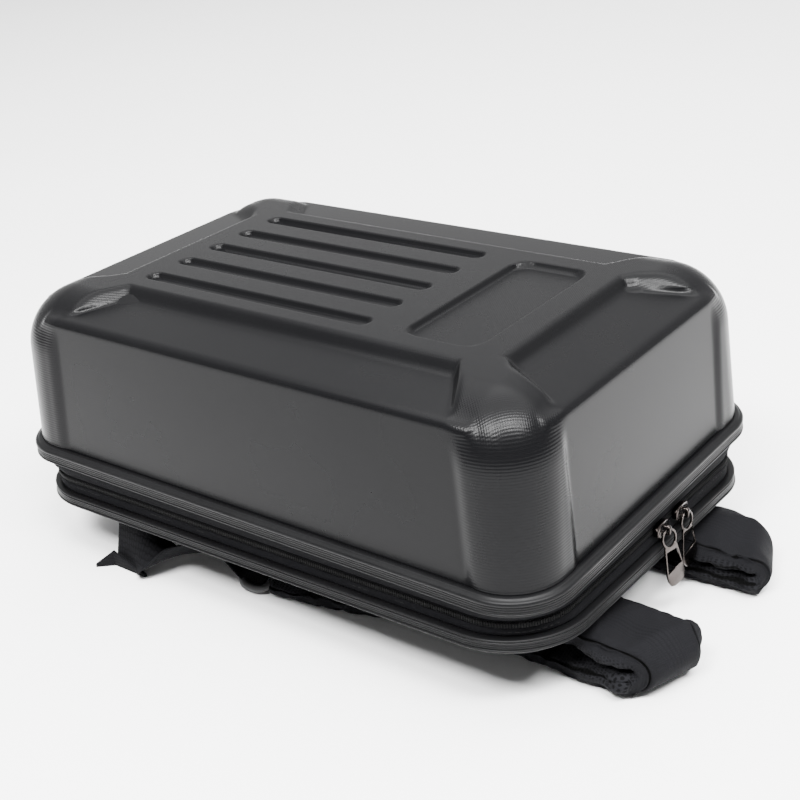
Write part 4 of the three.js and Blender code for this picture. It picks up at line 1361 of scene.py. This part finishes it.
def zip_fastener():
    """The zip tape with a row of teeth along its middle."""
    section = [(-1.8, -2.9), (0.0, -2.9), (0.25, -0.9), (0.25, 0.9), (0.0, 2.9), (-1.8, 2.9)]
    tape = ring_piece("zip_tape_ring", zip_plan(0.0, 22, 20), section, zip_height)
    dress(tape, TAPE, stands_for=("zip_chain",))
    teeth = [zip_line(0.7, 0.0)]
    return repeated("zip_teeth", teeth, TOOTH_PITCH, TOOTH_SIZE, 6, TEETH)


def seam_rows():
    """Stitches along the front trim and on both sides of the zip."""
    rim, _ = ring_plan(HALF_X - 0.3, HALF_Y - 0.3, RIM_RADIUS, 0.0, 22, 40)
    height = np.full(len(rim), TRIM_BOTTOM - 3.2)
    upper = np.column_stack([rim[:, 0] + rim[:, 2], rim[:, 1] + rim[:, 3], height])
    lines = [upper, zip_line(0.75, 5.2), zip_line(0.75, -5.0)]
    return repeated("gusset_stitches", lines, STITCH_PITCH, STITCH_SIZE, 5, THREAD)


def bevelled(name, node, finish, width):
    """A copy of a solid with its flat faces joined and its edges rounded."""
    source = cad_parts[node]
    mesh = source.data.copy()
    mesh.name = name
    mesh.transform(source.matrix_world)
    work = bmesh.new()
    work.from_mesh(mesh)
    bmesh.ops.remove_doubles(work, verts=work.verts, dist=MERGE)
    bmesh.ops.dissolve_limit(work, angle_limit=math.radians(2), verts=work.verts, edges=work.edges)
    bmesh.ops.recalc_face_normals(work, faces=work.faces)
    work.to_mesh(mesh)
    work.free()
    obj = link(bpy.data.objects.new(name, mesh))
    edge = obj.modifiers.new("edges", "BEVEL")
    edge.width = width
    edge.segments = 2
    edge.limit_method = "ANGLE"
    edge.angle_limit = math.radians(28)
    edge.harden_normals = True
    shown = evaluated_mesh(obj)
    obj.modifiers.clear()
    obj.data = shown
    shade_smooth(shown)
    if not shown.uv_layers.get("fabric"):
        flat_uv(shown)
    return dress(obj, finish, stands_for=(node,))


PULL_HINGE_X = 231.9
PULL_THICKNESS_HALF = 0.45
PULL_EDGE = 0.28
EYE_CENTRE = -6.0
EYE_RADIUS = 6.6
EYE_HOLE = 5.8
CURL_START = 30
CURL = 0.05


def arc(x, y, radius, start, end, steps):
    """Points of an arc in the pull's own plane."""
    turns = np.linspace(start, end, steps)
    return [(x + radius * math.cos(t), y + radius * math.sin(t)) for t in turns]


def zip_pull(name, node, body, hinge, tilt, turn):
    """A flat metal tab: an eye round the slider's crown, a long window and a solid slanted end."""
    eye = arc(0, EYE_CENTRE, EYE_RADIUS, math.radians(-40), math.radians(220), 28)
    blade = [(-5.7, -12.5), (-7.9, -29), (-8.2, -33.5), (-7.0, -36.6), (-4.2, -37.4)]
    blade += [(3.0, -37.4), (6.0, -36), (8.0, -32), (7.8, -27), (5.8, -12.5)]
    hole = arc(0, EYE_CENTRE, EYE_HOLE, 0, 2 * math.pi, 24)[:-1]
    window = [(-5.3, -14.2), (-7.4, -29.4), (7.1, -25.4), (5.3, -14.2)]
    flat = bpy.data.curves.new(name, "CURVE")
    flat.dimensions = "2D"
    flat.fill_mode = "BOTH"
    flat.extrude = PULL_THICKNESS_HALF * MM
    flat.bevel_depth = PULL_EDGE * MM
    flat.bevel_resolution = 2
    for loop in (eye + blade, hole, window):
        spline = flat.splines.new("POLY")
        spline.points.add(len(loop) - 1)
        for point, (u, w) in zip(spline.points, loop):
            point.co = (u * MM, w * MM, 0, 1)
        spline.use_cyclic_u = True
    carrier = link(bpy.data.objects.new(name + "_line", flat))
    mesh = evaluated_mesh(carrier)
    bpy.data.objects.remove(carrier)
    points = read_vectors(mesh, "co") / MM
    u, w, deep = points[:, 0], points[:, 1], points[:, 2]
    curl = CURL * np.maximum(-w - CURL_START, 0) ** 1.7 * np.clip((2 - u) / 8, 0, 1)
    flat_points = np.column_stack([deep + curl, u, w])
    pose = Matrix.Rotation(turn, 3, "Z") @ Matrix.Rotation(-tilt, 3, "Y")
    placed_points = flat_points @ np.array(pose).T + np.array(hinge)
    set_points(mesh, in_row(placed_points))
    turn_outwards(mesh, MERGE)
    flat_uv(mesh)
    obj = link(bpy.data.objects.new(name, mesh))
    return dress(obj, METAL, body, stands_for=(node,))


def round_bar(points, radius, sides=12):
    """Points and faces of a round bar along case-frame points, closed at both ends or on itself."""
    path = np.asarray(points, float)
    closed = np.linalg.norm(path[0] - path[-1]) < 1e-6
    if closed:
        path = path[:-1]
    count = len(path)
    ahead = np.roll(path, -1, axis=0) - np.roll(path, 1, axis=0)
    if not closed:
        ahead[0], ahead[-1] = path[1] - path[0], path[-1] - path[-2]
    ahead /= np.linalg.norm(ahead, axis=1)[:, None]
    side = np.cross(ahead, np.array([0.0, 0.0, 1.0]))
    side /= np.linalg.norm(side, axis=1)[:, None]
    rise = np.cross(side, ahead)
    turn = np.arange(sides) / sides * 2 * math.pi
    wide = side[:, None] * np.cos(turn)[None, :, None] * radius[0]
    ring = wide + rise[:, None] * np.sin(turn)[None, :, None] * radius[1]
    grid = (path[:, None] + ring).reshape(-1, 3)
    faces = []
    for i in range(count if closed else count - 1):
        k = (i + 1) % count
        for j in range(sides):
            m = (j + 1) % sides
            faces.append((i * sides + j, i * sides + m, k * sides + m, k * sides + j))
    if not closed:
        faces.append(tuple(range(sides))[::-1])
        faces.append(tuple((count - 1) * sides + j for j in range(sides)))
    return grid, faces


def ladder_lock(side, name, node):
    """A rounded frame with two bars across, that the webbing is threaded over."""
    centre = buckle_place(side)
    bar_x, bar_z = BUCKLE_BAR
    half_l, half_w = BUCKLE_LENGTH / 2 - bar_x, BUCKLE_WIDTH / 2 - bar_x
    outline, _ = ring_plan(half_l, half_w, 11.0, 0.0, 8)
    outline = np.vstack([outline, outline[:1]])
    frame_path = np.column_stack([outline[:, 0], outline[:, 1], np.zeros(len(outline))])
    parts = [round_bar(frame_path, (bar_x, bar_z))]
    for x in (-half_l * 0.42, half_l * 0.42):
        cross_path = [(x, y, CROSS_BAR_DROP) for y in np.linspace(-half_w, half_w, 9)]
        parts.append(round_bar(cross_path, CROSS_BAR))
    points, faces = [], []
    for part_points, part_faces in parts:
        first = len(points)
        points += list(part_points)
        faces += [tuple(first + i for i in face) for face in part_faces]
    points = np.array(points)
    across = np.array([0, math.cos(BUCKLE_ROLL), -side * math.sin(BUCKLE_ROLL)])
    normal = np.array([0, side * math.sin(BUCKLE_ROLL), math.cos(BUCKLE_ROLL)])
    along = np.array([1.0, 0, 0])
    placed_points = centre + points[:, :1] * along + points[:, 1:2] * across + points[:, 2:] * normal
    obj = mesh_piece(name, placed_points, faces, merge=MERGE)
    flat_uv(obj.data)
    return dress(obj, BUCKLE, stands_for=(node,))


place_camera()
studio()
moulded_shell()
front_trim()
back_trim()
gusset()
panel()
shoulder_pad(-1, "padded_strap_near", "shoulder_pad_near")
shoulder_pad(1, "padded_strap_far", "shoulder_pad_far")
webbing(-1, "webbing_strap_near", "webbing_near")
webbing(1, "webbing_strap_far", "webbing_far")
ladder_lock(-1, "strap_buckle_near", "ladder_lock_near")
ladder_lock(1, "strap_buckle_far", "ladder_lock_far")
zip_fastener()
seam_rows()
bevelled("slider_body_1", "zip_slider_1", METAL, 0.3 * MM)
bevelled("slider_body_2", "zip_slider_2", METAL, 0.3 * MM)
zip_pull("pull_tab_1", "zip_pull_1", "pull_1", (PULL_HINGE_X, 3.5, 62.455), 0.22, -0.22)
zip_pull("pull_tab_2", "zip_pull_2", "pull_2", (PULL_HINGE_X, 29.5, 61.894), 0.1, -0.1)
bevelled("sewn_tab_near", "anchor_tab_near", WEBBING, 0.5 * MM)
bevelled("sewn_tab_far", "anchor_tab_far", WEBBING, 0.5 * MM)
